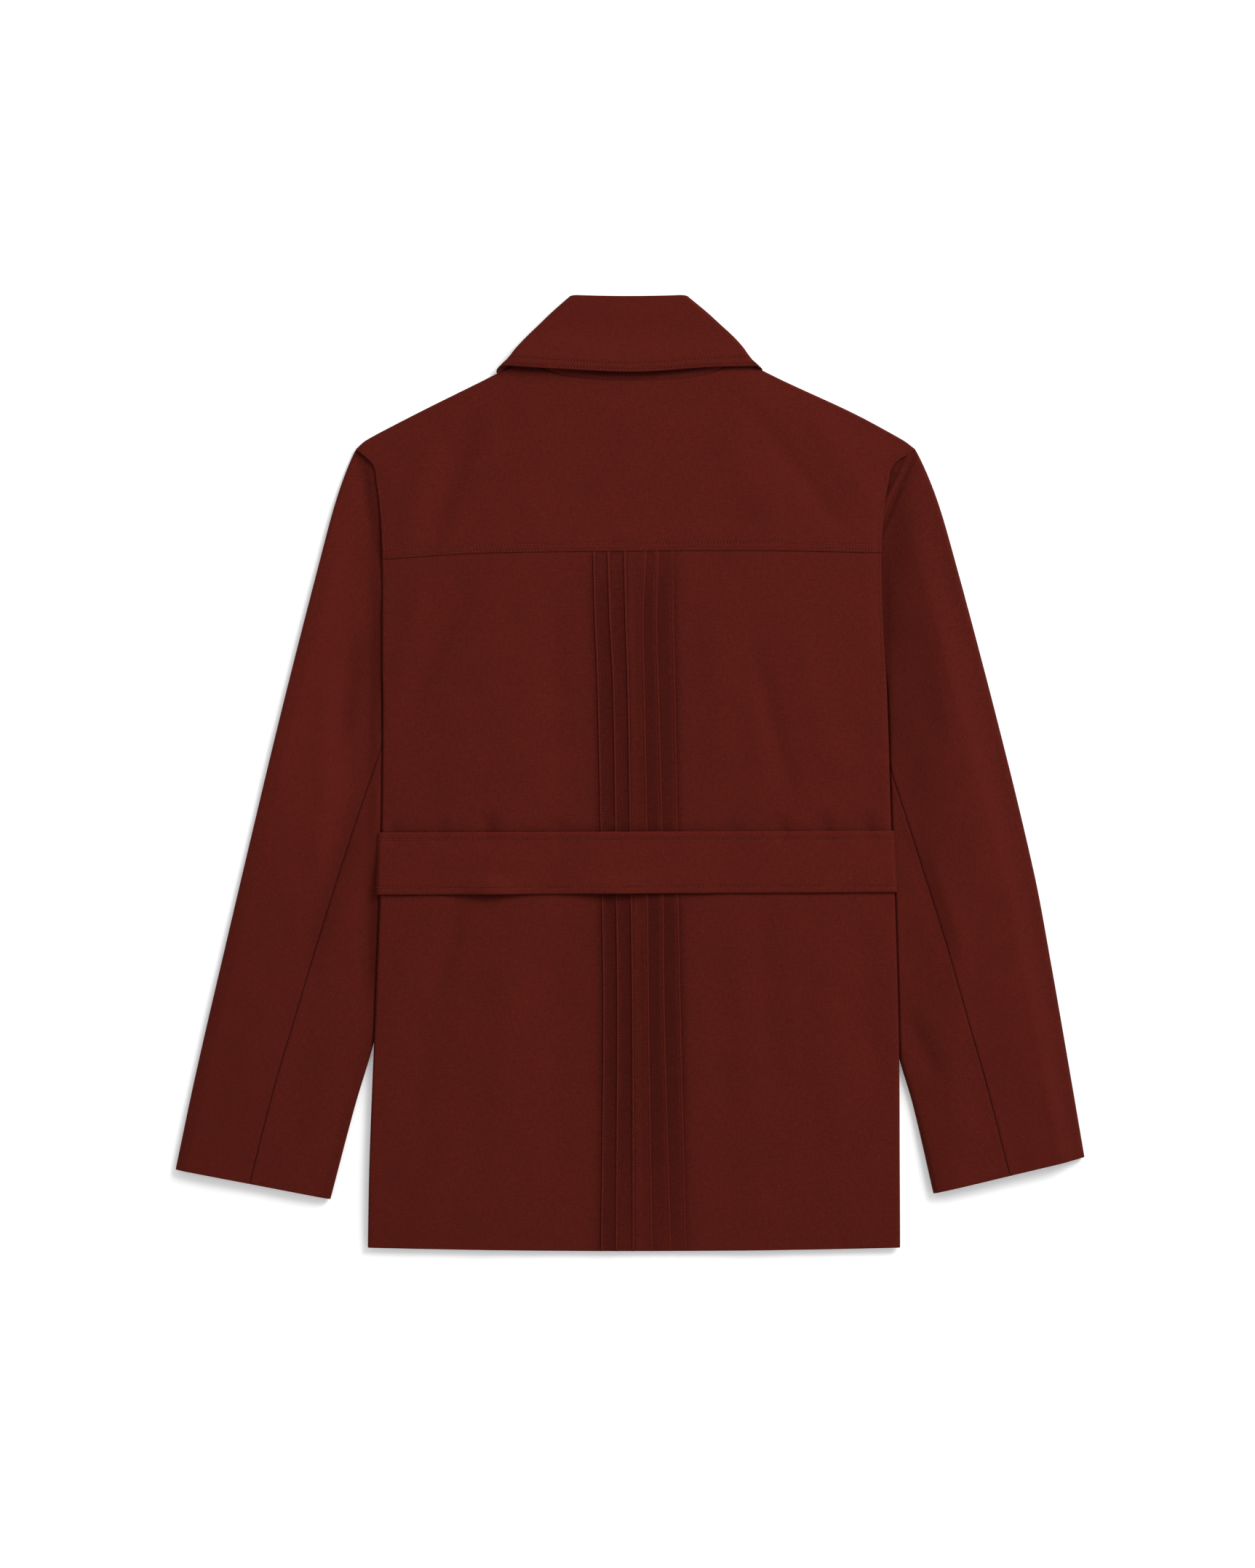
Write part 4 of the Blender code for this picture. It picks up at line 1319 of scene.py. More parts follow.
    # The height at which a tuck shows its full painted light and shade, and the run of the strips' painted
    # shade below the yoke
    tuck_shade_rise: float = 0.0012
    shade_run: float = 0.050
    # The run of the seam's bow, half the width of the hem's sag and its run
    seam_bend_run: float = 0.150
    hem_sag_half: float = 0.225
    hem_sag_run: float = 0.130
    hem_depth: float = 0.0008
    # The armholes' rows: distance from the edge, half width and depth, then tone and run at the underarm
    side_row: Triple = (0.0032, 0.0008, 0.00015)
    side_row_tone: float = -0.10
    side_row_run: float = 0.02
    # Tones of the worn hem and side edges, with how far in they reach
    hem_wear: Point = (0.05, 0.0015)
    edge_wear: Point = (0.03, 0.0015)
    # The run across the belt from its lower to its upper dip, and how far under it its painted shadows begin
    belt_middle_run: float = 0.040
    belt_cover: float = 0.004
    # The drop at which the yoke's lap ends, and its run
    lap_from: float = 0.001
    lap_run: float = 0.004
    cut: Cut = Cut(
        0.490, 0.602, 0.276, ("front_left", "front_right", "sleeve_upper_left", "sleeve_upper_right")
    )

    def drops(self) -> Array:
        """Drops of the rows below the yoke's seam, closer together at the hem."""
        first, last = self.stands[0][0], self.stands[-1][0]
        plain = np.linspace(first, last - self.hem_band, self.plain_rows)
        return np.unique(np.concatenate((plain, last - rounded_steps(self.hem_run, self.hem_rows))))

    def darkness(self, drop: Array) -> tuple[Array, Array]:
        """Shares of the strips' painted shade at drops: as tabled, and with no fading towards the hem."""
        below = eased_through(*np.array(self.strip_shares).T, drop)
        return below, np.maximum(below, smooth(drop / self.shade_run))

    def tuck(self, line: TuckLine, drop: Array) -> tuple[Array, Array, Array]:
        """A tuck's points: its profile leaned over its root, which follows the fold's line.

        Args:
            line: the tuck.
            drop: the rows' drops, as a column.

        Returns:
            Places across, heights above the panel and tones of painted light and shade, left to right.
        """
        table = np.array(self.stands)
        rise = eased_through(table[:, 0], table[:, 1], drop)
        seen = smooth(rise / self.tuck_shade_rise)
        rise = rise * line.stands
        lean = eased_through(table[:, 0], table[:, 2], drop)
        fold = eased_through(self.fold_drops, line.folds, drop)
        sign = line.leans.value
        shape = np.array(self.profile)[:: sign]
        root = fold - sign * (self.half_wall + lean)
        x = root + sign * (shape[:, 0] * self.half_wall + shape[:, 1] * lean)
        # Painted light and shade across the tuck, as strong as the tuck stands high
        return x, shape[:, 2] * rise, shape[:, 3 if line.leans is Side.LEFT else 4] * seen

    def across(self, drop: Array) -> tuple[Array, Array, Array, Array, list[Seam]]:
        """All places across the back: edges, plain cloth, tucks and the strips between them.

        Args:
            drop: the rows' drops, as a column.

        Returns:
            Places on the outer face, places on the inner face, heights, tones, and each tuck's
            column of stitches with the drop that they reach.
        """
        form = self.form
        level = form.seam_middle - drop
        left, right = form.edge_x(level, Side.LEFT), form.edge_x(level, Side.RIGHT)
        turn = rounded_steps(form.edge_turn, EDGE_POINTS)
        plain = np.linspace(0.0, 1.0, self.plain_columns + 1)[None, 1:-1]
        tucks = [self.tuck(line, drop) for line in self.tucks]
        starts = [left + turn, mix(left + turn[-1], tucks[0][0][:, :1], plain)]
        ends = [mix(tucks[-1][0][:, -1:], right - turn[-1], plain), right - turn[::-1]]
        nothing = np.zeros_like(drop)
        outer, inner = list(starts), list(starts)
        rises, tones = [[nothing + np.zeros(part.shape[1]) for part in starts] for _ in range(2)]
        sewn = []
        strip = np.linspace(0.0, 1.0, self.strip_columns + 2)[None, 1:-1]
        below, lasting = self.darkness(drop)
        # Painted shade beside the outer tucks, also the ground under the first and the last tuck
        beside = sum(tone for tone, _ in self.beside_painted_shades)
        grounds = [(beside, beside), *self.strip_painted_shades, (beside, beside)]
        for k, (x, rise, tone) in enumerate(tucks):
            count = x.shape[1]
            index = np.arange(count)
            leans_left = self.tucks[k].leans is Side.LEFT
            point = count - 1 - self.stitch_point if leans_left else self.stitch_point
            reach = self.stands[-1][0] if leans_left else self.right_sewn
            sewn.append((sum(part.shape[1] for part in outer) + point, reach))
            outer.append(x)
            inner.append(mix(x[:, :1], x[:, -1:], index[None, :] / (count - 1)))
            rises.append(rise)
            held = lasting if k < 1 else below
            ground = mix(grounds[k][1], grounds[k + 1][0], index / (count - 1)) * held
            own = np.clip(np.minimum(index, count - 1 - index) / 2, 0.0, 1.0)
            tones.append(mix(ground, tone, own))
            if k + 1 < len(tucks):
                gap = mix(x[:, -1:], tucks[k + 1][0][:, :1], strip)
                outer.append(gap)
                inner.append(gap)
                rises.append(-self.strip_sink * np.sin(math.pi * strip) * below)
                # Painted shade on the strip between this tuck and the next
                tones.append(mix(*self.strip_painted_shades[k], strip) * held)
        for part in ends:
            outer.append(part)
            inner.append(part)
            rises.append(nothing + np.zeros(part.shape[1]))
            tones.append(nothing + np.zeros(part.shape[1]))
        joined = [np.concatenate(parts, axis=1) for parts in (outer, inner, rises, tones)]
        return *joined, sewn

    def shell(self) -> tuple[ClothShell, list[Seam]]:
        """The back's wall and the columns in which its tucks are sewn.

        Returns:
            The shell, and the column numbers with the drops that the stitches reach.
        """
        form = self.form
        drop = self.drops()[:, None]
        x, low_x, rise, tone, sewn = self.across(drop)
        group = np.flatnonzero(np.ptp(tone, axis=0) + np.abs(tone[-1]) > 0)
        columns = (group[0], group[-1])
        bend = 1 - smooth(drop / self.seam_bend_run)
        centred = np.maximum(1 - ((x - form.centre_x) / self.hem_sag_half) ** 2, 0.0)
        last = self.stands[-1][0]
        y = mix(form.seam_middle, form.seam_y(x), bend) - drop
        y = y - self.hem_sag * centred * smooth(1 - (last - drop) / self.hem_sag_run)
        level = form.seam_middle - drop
        left, right = form.edge_x(level, Side.LEFT), form.edge_x(level, Side.RIGHT)
        edge = np.minimum(x - left, right - x)
        across = (x - left) / (right - left)
        under_belt = mix(*form.belt_low, across) - y
        over_belt = y - mix(*form.belt_high, across)
        off_belt = np.maximum(np.maximum(under_belt, over_belt), 0.0)
        above_belt = smooth((over_belt - under_belt) / self.belt_middle_run + 0.5)
        dip = mix(*self.belt_dips, above_belt) * (1 - smooth(off_belt / self.belt_run))
        dip = dip * form.off_edges(edge)
        dip = dip + self.lap_dip * smooth((self.lap_from - drop) / self.lap_run)
        top, depth = form.back_top(x, y) - dip, form.side_depth(x, y)
        hem = last - drop
        at_hem = edge_drop(hem, self.hem_depth, self.hem_turn)
        row_at, row_width, row_depth = self.side_row
        side_sewn = bell(edge - row_at, row_width) * smooth((y - form.underarm_y) / self.side_row_run)
        turned = edge_drop(edge, depth, form.edge_turn)
        outer = np.stack((x, y, top + rise - turned - at_hem - row_depth * side_sewn), axis=-1)
        wall = form.cloth
        under = edge_drop(edge, np.maximum(depth - wall, 0.0), form.edge_turn)
        sign = np.where(x < form.centre_x, -1.0, 1.0)
        inner_x = low_x - sign * edge_drop(edge, wall, form.edge_turn)
        sunk = np.minimum(rise, 0.0)
        inner = np.stack((inner_x, y, top - wall - under + sunk), axis=-1)
        tone = tone + wear(hem, self.hem_wear) + wear(edge, self.edge_wear) + self.side_row_tone * side_sewn
        # Painted shadows beside the belt's edges
        for off, (shadow_tone, shadow_width) in zip((under_belt, over_belt), self.belt_painted_shadows):
            tone = tone + shadow_tone * bell(np.maximum(off, 0.0), shadow_width) * (off > -self.belt_cover)
        first, final = x[:, columns[0] : columns[0] + 1], x[:, columns[1] : columns[1] + 1]
        beside = np.maximum(np.maximum(first - x, x - final), 0.0)
        plain = (x < first) | (x > final)
        # Painted shade on the plain cloth beside the outer tucks
        (near_tone, near_run), (far_tone, far_run) = self.beside_painted_shades
        shade = near_tone * bell(beside, near_run) + far_tone * np.exp(-beside / far_run)
        below, lasting = self.darkness(drop)
        shade = shade * np.where(x < first, lasting, below)
        tone = tone + np.where(plain, shade, 0.0)
        return ClothShell("back_cloth", outer, inner, np.stack((x, y), axis=-1), tone), sewn

    def build(self, finishes: Finishes) -> None:
        """Makes the back and sews its tucks and the lower ends of the armholes.

        Args:
            finishes: the jacket's materials.
        """
        shell, columns = self.shell()
        normals = shell.normals()
        drop = self.drops()
        to_underarm = self.form.seam_middle - self.form.underarm_y
        columns += [(column, to_underarm) for column in self.armhole_columns]
        lines = []
        for column, reach in columns:
            seen = np.flatnonzero((drop > self.lap_from) & (drop < reach))
            lines.append((shell.outer[seen, column], normals[seen, column]))
        piece = shell.build(finishes.cloth)
        sewn = self.gauge.sew("back_stitches", lines, finishes.thread)
        self.cut.declare(piece, "back_panel", [sewn])


@dataclass
class HalfBelt:
    """The half belt over the back's waist, of doubled cloth, its ends turned down round the sides."""

    form: JacketForm = FORM
    wall: float = 0.0014
    past_edge: float = 0.0023
    left_reach: float = 0.0016
    over_tucks: float = 0.0012
    row_sewn: float = 0.0062
    gauge: StitchGauge = StitchGauge(radius=0.0004, tone_shift=0.04, tone_share=0.38)
    edge_steps: tuple[float, ...] = (
        0.0, 0.0002, 0.0006, 0.0012, 0.0022, 0.0036, 0.0052, 0.0062, 0.0071, 0.0084,
    )
    # Half width of a row, the depth to which it pulls in, its tone, and its first and last grid points
    row_pull: Point = (0.0006, 0.00025)
    row_tone: float = -0.42
    row_ends: tuple[int, int] = (3, -3)
    base_tone: float = 0.08
    edge_wear: Point = (0.08, 0.0009)
    # Depth and run over which the long edges turn down
    long_edge: Point = (0.0009, 0.0010)
    # The puff outside the rows: its distance from the edge, half width and height
    puff: Triple = (0.003, 0.0015, 0.00018)
    crown: float = 0.0003
    # Middle and half width of the tucks under the belt
    tucks_under: Point = (0.008, 0.045)
    # How far the belt keeps its own level rather than the back's creases
    stiffness: float = 0.5
    stand_off_run: float = 0.020
    middle_rows: int = 16
    plain_columns: int = 150
    end_columns: int = 10
    # Where the lower edge stands off the back: middle, half width and height
    stand_offs: tuple[Triple, ...] = (
        (-0.010, 0.024, 0.0042),
        (-0.115, 0.019, 0.0058),
        (0.062, 0.014, 0.0005),
        (-0.190, 0.014, 0.0004),
        (0.160, 0.016, 0.0006),
    )
    cut: Cut = Cut(0.450, 0.0545, 0.0245, ("back_panel",))

    def shell(self) -> ClothShell:
        """The belt's wall: rows across its width, columns from end to end.

        Returns:
            The shell.
        """
        form = self.form
        width = form.belt_high[0] - form.belt_low[0]
        near = np.array(self.edge_steps) / width
        middle = np.linspace(near[-1], 1 - near[-1], self.middle_rows)[1:-1]
        share = np.concatenate((near, middle, 1 - near[::-1]))[:, None]
        left_y = mix(form.belt_low[0], form.belt_high[0], share)
        right_y = mix(form.belt_low[1], form.belt_high[1], share)
        middle_y = (left_y + right_y) / 2
        left = form.edge_x(middle_y, Side.LEFT) - self.past_edge
        right = form.edge_x(middle_y, Side.RIGHT) + self.past_edge
        turn = form.edge_turn + self.past_edge
        steps = rounded_steps(turn, self.end_columns)
        plain = mix(left + turn, right - turn, np.linspace(0.0, 1.0, self.plain_columns)[None, 1:-1])
        x = np.concatenate((left + steps, plain, right - steps[::-1]), axis=1)
        y = mix(left_y, right_y, (x - left) / (right - left))
        tucks_at, tucks_half = self.tucks_under
        over = 1 - smooth((np.abs(x - tucks_at) - tucks_half) / form.turn_run)
        from_low, from_high = share * width, (1 - share) * width
        from_edge = np.minimum(from_low, from_high)
        off = sum(h * bell(x - m, w) for m, w, h in self.stand_offs)
        row_width, row_depth = self.row_pull
        sewn = bell(from_edge - self.row_sewn, row_width)
        lift = self.over_tucks * over + form.layer_gap + self.wall
        lift = lift + off * (1 - smooth(from_low / self.stand_off_run)) + self.crown * np.sin(math.pi * share)
        lift = lift - row_depth * sewn + puffed(from_edge, self.puff)
        edge = np.minimum(x - left, right - x)
        depth = form.side_depth(x, y) + form.layer_gap + self.wall
        own_level = form.back_level + form.side_rise * form.aside(x)
        level = mix(form.back_top(x, y), own_level, self.stiffness) + lift
        turned = edge_drop(edge, depth, turn)
        shift = self.left_reach * (1 - smooth((x - left) / form.turn_run))
        outer = np.stack((x - shift, y, level - turned - edge_drop(from_edge, *self.long_edge)), axis=-1)
        sign = np.where(x < form.centre_x, -1.0, 1.0)
        under = edge_drop(edge, np.maximum(depth - self.wall, 0.0), turn)
        inner_x = x - shift - sign * edge_drop(edge, self.wall, turn)
        inner = np.stack((inner_x, y, level - self.wall - under), axis=-1)
        tone = self.base_tone + wear(from_edge, self.edge_wear) + self.row_tone * sewn + np.zeros_like(x)
        return ClothShell("belt_cloth", outer, inner, np.stack((y, x), axis=-1), tone)

    def build(self, finishes: Finishes) -> None:
        """Makes the belt and sews along both of its edges.

        Args:
            finishes: the jacket's materials.
        """
        shell = self.shell()
        normals = shell.normals()
        row = self.edge_steps.index(self.row_sewn)
        inside = slice(*self.row_ends)
        lines = [(shell.outer[k, inside], normals[k, inside]) for k in (row, -1 - row)]
        piece = shell.build(finishes.cloth)
        sewn = self.gauge.sew("belt_stitches", lines, finishes.thread)
        self.cut.declare(piece, "back_belt", [sewn])


@dataclass(frozen=True)
class BandSections:
    """Sections round a collar piece: their rolled and free ends, ways out and shares of a bow."""

    roll: Array
    edge: Array
    radial: Array
    flare: Array


@dataclass
class Collar:
    """The folded collar: a leaf outside, rolled over at the top, and the stand inside it."""

    form: JacketForm = FORM
    loft: float = 0.0079
    leaf_wall: float = 0.0014
    stand_wall: float = 0.0013
    seam_gap: float = 0.0003
    roll_left: Point = (-0.0492, 0.4020)
    roll_right_x: float = 0.0470
    roll_dip: float = 0.0008
    front_roll_reach: float = 0.0075
    front_roll_y: float = 0.3443
    point_reach: float = 0.0632
    point_y: float = 0.2831
    stand_clear: float = 0.0010
    stand_fold_inset: float = 0.0024
    front_neck_depth: float = 0.0544
    front_neck_clear: float = 0.0025
    stand_end: float = math.radians(86)
    leaf_rows: tuple[float, ...] = (0.0020, 0.0074)
    leaf_steps: tuple[float, ...] = (
        0.0, 0.0002, 0.0006, 0.0010, 0.0015, 0.0020, 0.0026, 0.0040, 0.0054, 0.0067, 0.0074, 0.0081, 0.0100,
    )
    creases: tuple[Crease, ...] = (
        Crease((-0.090, 0.372), (-0.030, 0.352), 0.009, 0.0005),
        Crease((0.030, 0.350), (0.090, 0.372), 0.009, 0.0005),
        Crease((-0.050, 0.390), (0.050, 0.390), 0.008, 0.0004),
        Crease((-0.060, 0.362), (0.060, 0.364), 0.010, -0.0005),
    )
    # Places along the leaf's free edge and how far it stands off the yoke there
    stand_offs: tuple[Point, ...] = (
        (-0.111, 0.0024),
        (-0.085, 0.0052),
        (-0.055, 0.0054),
        (-0.025, 0.0050),
        (0.010, 0.0046),
        (0.040, 0.0036),
        (0.070, 0.0024),
        (0.090, 0.0014),
        (0.111, 0.0006),
    )
    edge_off_run: float = 0.042
    # Shares from the rolled to the free edge and how far the side folds bow out there
    side_bow: tuple[Point, ...] = (
        (0.0, 0.0008),
        (0.22, 0.0034),
        (0.38, 0.0041),
        (0.56, 0.0047),
        (0.70, 0.0034),
        (0.80, 0.0012),
        (0.88, 0.0001),
        (0.95, 0.0003),
        (1.0, 0.0005),
    )
    fold_lips: Point = (0.0064, 0.0034)
    seam_drop: float = 0.0012
    # Counts of sections round a fold, along a front half and along the back
    fold_sections: int = 16
    front_sections: int = 26
    back_sections: int = 111
    # Shares of a front half over which a fold's lip and its bow die away
    lip_fade: float = 0.5
    bow_fade: float = 0.6
    # Counts of places up the flat leaf, round its roll and up the stand
    leaf_places: int = 22
    roll_places: int = 14
    stand_places: int = 13
    least_slant: float = 0.6
    fold_reach: float = 0.02
    # Half width of the leaf's rows, the depth to which they pull in and their tone
    row_pull: Point = (0.0006, 0.00025)
    row_tone: float = -0.36
    # First and last sections of the leaf's rows and of the neck's row
    row_ends: tuple[int, int] = (2, -2)
    neck_ends: tuple[int, int] = (44, -44)
    # The puff between the rows: its distance from the edge, half width and height
    puff: Triple = (0.0047, 0.0016, 0.0002)
    # Depth and run over which the free edge turns down, and its wear's tone and reach
    free_edge: Point = (0.0006, 0.0008)
    edge_wear: Point = (0.10, 0.0009)
    roll_ease: float = 0.012
    # The height at which the stand's foot begins to sink, and the run of that
    foot: Point = (0.0055, 0.0065)
    # How far above the neck's row the painted shadow under the leaf begins, and its run
    shade_from: Point = (0.0006, 0.0016)
    neck_gauge: StitchGauge = StitchGauge(tone_share=0.5)
    stand_steps: tuple[float, ...] = (-0.0022, -0.0010, 0.0, 0.0013, 0.0026, 0.0042, 0.0065)
    neck_row: float = 0.0026
    leaf_gauge: StitchGauge = StitchGauge(pitch=0.0026, length=0.0024, tone_shift=-0.35)
    # Painted shadow on the stand under the leaf
    under_leaf_painted_shadow: float = -1.0
    leaf_cut: Cut = Cut(0.440, 0.070, 0.0245, ("back_yoke", "collar_stand"))
    stand_cut: Cut = Cut(0.400, 0.060, 0.0183, ("back_yoke",))

    def stand_radius(self) -> float:
        """Inner radius of the stand round the collar's flattened middle."""
        return self.loft / 2 - self.leaf_wall - 2 * self.seam_gap - self.stand_wall

    def roll_radius(self) -> float:
        """Outer radius of the turn from the leaf down to the stand."""
        return (self.loft / 2 - self.stand_radius()) / 2

    def fold_slant(self) -> float:
        """How much further a slanted side fold reaches along X than square to itself."""
        rise = self.roll_left[1] - self.form.leaf_edge[0][1]
        return math.hypot(self.roll_left[0] - self.form.leaf_edge[0][0], rise) / rise

    def leaf_back(self, share: Array) -> tuple[Array, Array]:
        """Rolled and free edge of the leaf's back half, from -1 at the left to 1.

        Args:
            share: places along it.

        Returns:
            Points of the rolled edge and of the free edge.
        """
        across = (share + 1) / 2
        inset = self.loft / 2 * self.fold_slant()
        roll_x = mix(self.roll_left[0] + inset, self.roll_right_x - inset, across)
        roll_y = self.roll_left[1] - self.roll_dip * (1 - share**2)
        table = np.array(self.form.leaf_edge)
        edge_x = mix(table[0, 0] + inset, table[-1, 0] - inset, across)
        edge_y = eased_through(table[:, 0], table[:, 1], edge_x)
        return np.stack((roll_x, roll_y), axis=-1), np.stack((edge_x, edge_y), axis=-1)

    def leaf_front(self, side: Side, share: Array) -> tuple[Array, Array]:
        """Rolled and free edge of the leaf's front half under the jacket, from the fold to its point."""
        roll, edge = self.leaf_back(np.array([float(side.value)]))
        centre = self.form.centre_x
        roll_end = np.array((centre + side.value * self.front_roll_reach, self.front_roll_y))
        point = np.array((centre + side.value * self.point_reach, self.point_y))
        return mix(roll, roll_end, share[:, None]), mix(edge, point, share[:, None])

    def stand_back(self, share: Array) -> tuple[Array, Array]:
        """Top and neck seam of the stand's back half."""
        roll, edge = self.leaf_back(share)
        x = self.form.centre_x + self.form.neck_half_width * share
        low = np.stack((x, self.form.neck_y(x)), axis=-1)
        at_fold = bell(1 - np.abs(share), self.fold_reach)[:, None]
        inward = np.stack((np.sign(share), np.ones_like(share)), axis=-1)
        low = low - inward * self.stand_fold_inset * at_fold
        return roll - unit(roll - edge) * (self.roll_radius() + self.stand_clear), low

    def stand_front(self, side: Side, share: Array) -> tuple[Array, Array]:
        """Top and neck seam of the stand's front half, round the front neck."""
        roll, edge = self.leaf_front(side, share)
        form, angle = self.form, self.stand_end * share
        x = form.centre_x + side.value * (form.neck_half_width - self.stand_fold_inset) * np.cos(angle)
        y = form.neck_point_y - self.front_neck_depth * np.sin(angle) + self.front_neck_clear
        high = roll - unit(roll - edge) * (self.roll_radius() + self.stand_clear)
        return high, np.stack((x, y), axis=-1)

    def sections(self, of_leaf: bool) -> BandSections:
        """Sections all round: left front, left fold, back, right fold, right front.

        Args:
            of_leaf: whether for the leaf or for the stand.

        Returns:
            The sections.
        """
        back, front = (self.leaf_back, self.leaf_front) if of_leaf else (self.stand_back, self.stand_front)
        angles = np.radians(np.linspace(0.0, 180.0, self.fold_sections))[1:]
        shares = np.linspace(0.0, 1.0, self.front_sections)[1:]
        halves = {}
        for side, lip in zip(Side, self.fold_lips if of_leaf else (0.0, 0.0)):
            roll, edge = back(np.array([float(side.value)]))
            fold_edge = np.repeat(edge, len(angles), axis=0)
            fold_edge[:, 1] -= lip * smooth(angles / (math.pi / 2))
            reach = side.value * self.fold_slant() * np.sin(angles)
            fold = np.stack((reach, np.zeros_like(angles), np.cos(angles)), axis=-1)
            front_roll, front_edge = front(side, shares)
            front_edge[:, 1] -= lip * (1 - smooth(shares / self.lip_fade))
            down = np.tile((0.0, 0.0, -1.0), (len(shares), 1))
            halves[side] = (
                np.concatenate((np.repeat(roll, len(angles), axis=0), front_roll)),
                np.concatenate((fold_edge, front_edge)),
                np.concatenate((fold, down)),
                side.value * np.concatenate((np.ones_like(angles), 1 - smooth(shares / self.bow_fade))),
            )
        places = np.sin(np.linspace(-0.5, 0.5, self.back_sections) * math.pi)
        up = np.tile((0.0, 0.0, 1.0), (len(places), 1))
        middle = (*back(places), up, np.sign(places) * places**4)
        parts = zip(halves[Side.LEFT], middle, halves[Side.RIGHT])
        return BandSections(*[np.concatenate((a[::-1], b, c)) for a, b, c in parts])

    def sewn_in(self, off_edge: Array) -> Array:
        """How far the leaf's two rows pull it in, at distances from its free edge, as shares."""
        return sum(bell(off_edge - row, self.row_pull[0]) for row in self.leaf_rows)

    def leaf_points(self, inset: float) -> tuple[Array, Array]:
        """The leaf's face, inset into its wall: free edge, flat leaf, and the turn at the rolled edge.

        Args:
            inset: how deep into the wall.

        Returns:
            Points as sections, places and 3, and distances of the places from the free edge.
        """
        band = self.sections(True)
        radius = self.roll_radius()
        run = unit(band.roll - band.edge)
        length = np.linalg.norm(band.roll - band.edge, axis=-1)[:, None] - radius
        slant = np.maximum(np.abs(run[:, 1:]), self.least_slant)
        near = np.array(self.leaf_steps)[None, :] / slant
        rest = mix(near[:, -1:], length, np.linspace(0.0, 1.0, self.leaf_places)[None, 1:])
        distance = np.concatenate((near + np.zeros_like(length), rest), axis=1)
        flat = band.edge[:, None] + run[:, None] * distance[..., None]
        shares, bows = np.array(self.side_bow).T
        flat[..., 0] += band.flare[:, None] * eased_through(shares, bows, 1 - distance / length)
        above = np.maximum(band.radial[:, 2:3], 0.0)
        lift = crease_heights(self.creases, flat[..., 0], flat[..., 1]) * above
        off_edge = distance * slant
        lift = lift - self.row_pull[1] * self.sewn_in(off_edge) + puffed(off_edge, self.puff)
        places, offs = np.array(self.stand_offs).T
        stood = eased_through(places, offs, flat[..., 0])
        lift = lift + stood * above * (1 - smooth(distance / self.edge_off_run))
        if inset == 0.0:
            lift = lift - edge_drop(off_edge, *self.free_edge)
        lift = lift * smooth((length - distance) / self.roll_ease)
        out = band.radial[:, None] * (self.loft / 2 - inset + lift)[..., None]
        points = np.concatenate((flat, np.full(distance.shape + (1,), self.loft / 2)), axis=-1) + out
        turn = np.linspace(0.0, math.pi, self.roll_places)[None, 1:, None]
        run_3d = np.concatenate((run, np.zeros((len(run), 1))), axis=-1)[:, None]
        half_way = np.full((len(run), 1), self.loft / 2)
        shoulder = np.concatenate((band.edge + run * length, half_way), axis=-1)
        shoulder[:, 0] += band.flare * bows[0]
        middle = shoulder[:, None] + band.radial[:, None] * (self.loft / 2 - radius)
        depth = radius - inset
        rolled = middle + band.radial[:, None] * depth * np.cos(turn) + run_3d * depth * np.sin(turn)
        far = np.tile(length * slant, (1, rolled.shape[1]))
        return np.concatenate((points, rolled), axis=1), np.concatenate((off_edge, far), axis=1)

    def stand_points(self, radius: float) -> Array:
        """The stand's face at a radius round the collar's flattened middle, from neck seam to roll."""
        band = self.sections(False)
        run = unit(band.roll - band.edge)
        length = np.linalg.norm(band.roll - band.edge, axis=-1)[:, None]
        near = np.array(self.stand_steps)[None, :]
        rest = mix(near[:, -1:], length, np.linspace(0.0, 1.0, self.stand_places)[None, 1:])
        above = np.maximum(band.radial[:, 2:3], 0.0)
        distance = np.concatenate((mix(np.maximum(near, 0.0), near, above), rest), axis=1)
        flat = band.edge[:, None] + run[:, None] * distance[..., None]
        foot_top, foot_run = self.foot
        drop = self.seam_drop * smooth((foot_top - distance) / foot_run) * above
        level = (self.loft / 2 - drop)[..., None]
        return np.concatenate((flat, level), axis=-1) + band.radial[:, None] * radius

    def build(self, finishes: Finishes) -> None:
        """Makes the leaf with its two sewn rows and the stand with its row above the neck seam.

        Args:
            finishes: the jacket's materials.
        """
        outer, distance = self.leaf_points(0.0)
        inner, _ = self.leaf_points(self.leaf_wall)
        tone = wear(distance, self.edge_wear) + self.row_tone * self.sewn_in(distance)
        leaf = ClothShell("collar_leaf_cloth", outer, inner, surface_grain(outer), tone)
        normals = leaf.normals()
        rows = [self.leaf_steps.index(row) for row in self.leaf_rows]
        inside = slice(*self.row_ends)
        lines = [(outer[inside, row], normals[inside, row]) for row in rows]
        sewn = self.leaf_gauge.sew("collar_stitches", lines, finishes.thread)
        self.leaf_cut.declare(leaf.build(finishes.cloth), "collar_leaf", [sewn])

        radius = self.stand_radius()
        outer, inner = self.stand_points(radius + self.stand_wall), self.stand_points(radius)
        near = np.array(self.stand_steps)
        # Painted shadow on the stand under the leaf, from just above the neck's row up to the roll
        shade = self.under_leaf_painted_shadow * ramp(near - self.neck_row, self.shade_from)
        above = np.full(outer.shape[1] - len(near), self.under_leaf_painted_shadow)
        tone = np.tile(np.concatenate((shade, above)), (len(outer), 1))
        stand = ClothShell("collar_stand_cloth", outer, inner, surface_grain(outer), tone)
        normals = stand.normals()
        back, row = slice(*self.neck_ends), self.stand_steps.index(self.neck_row)
        lines = [(outer[back, row], normals[back, row])]
        sewn = self.neck_gauge.sew("neck_stitches", lines, finishes.thread)
        self.stand_cut.declare(stand.build(finishes.cloth), "collar_stand", [sewn])


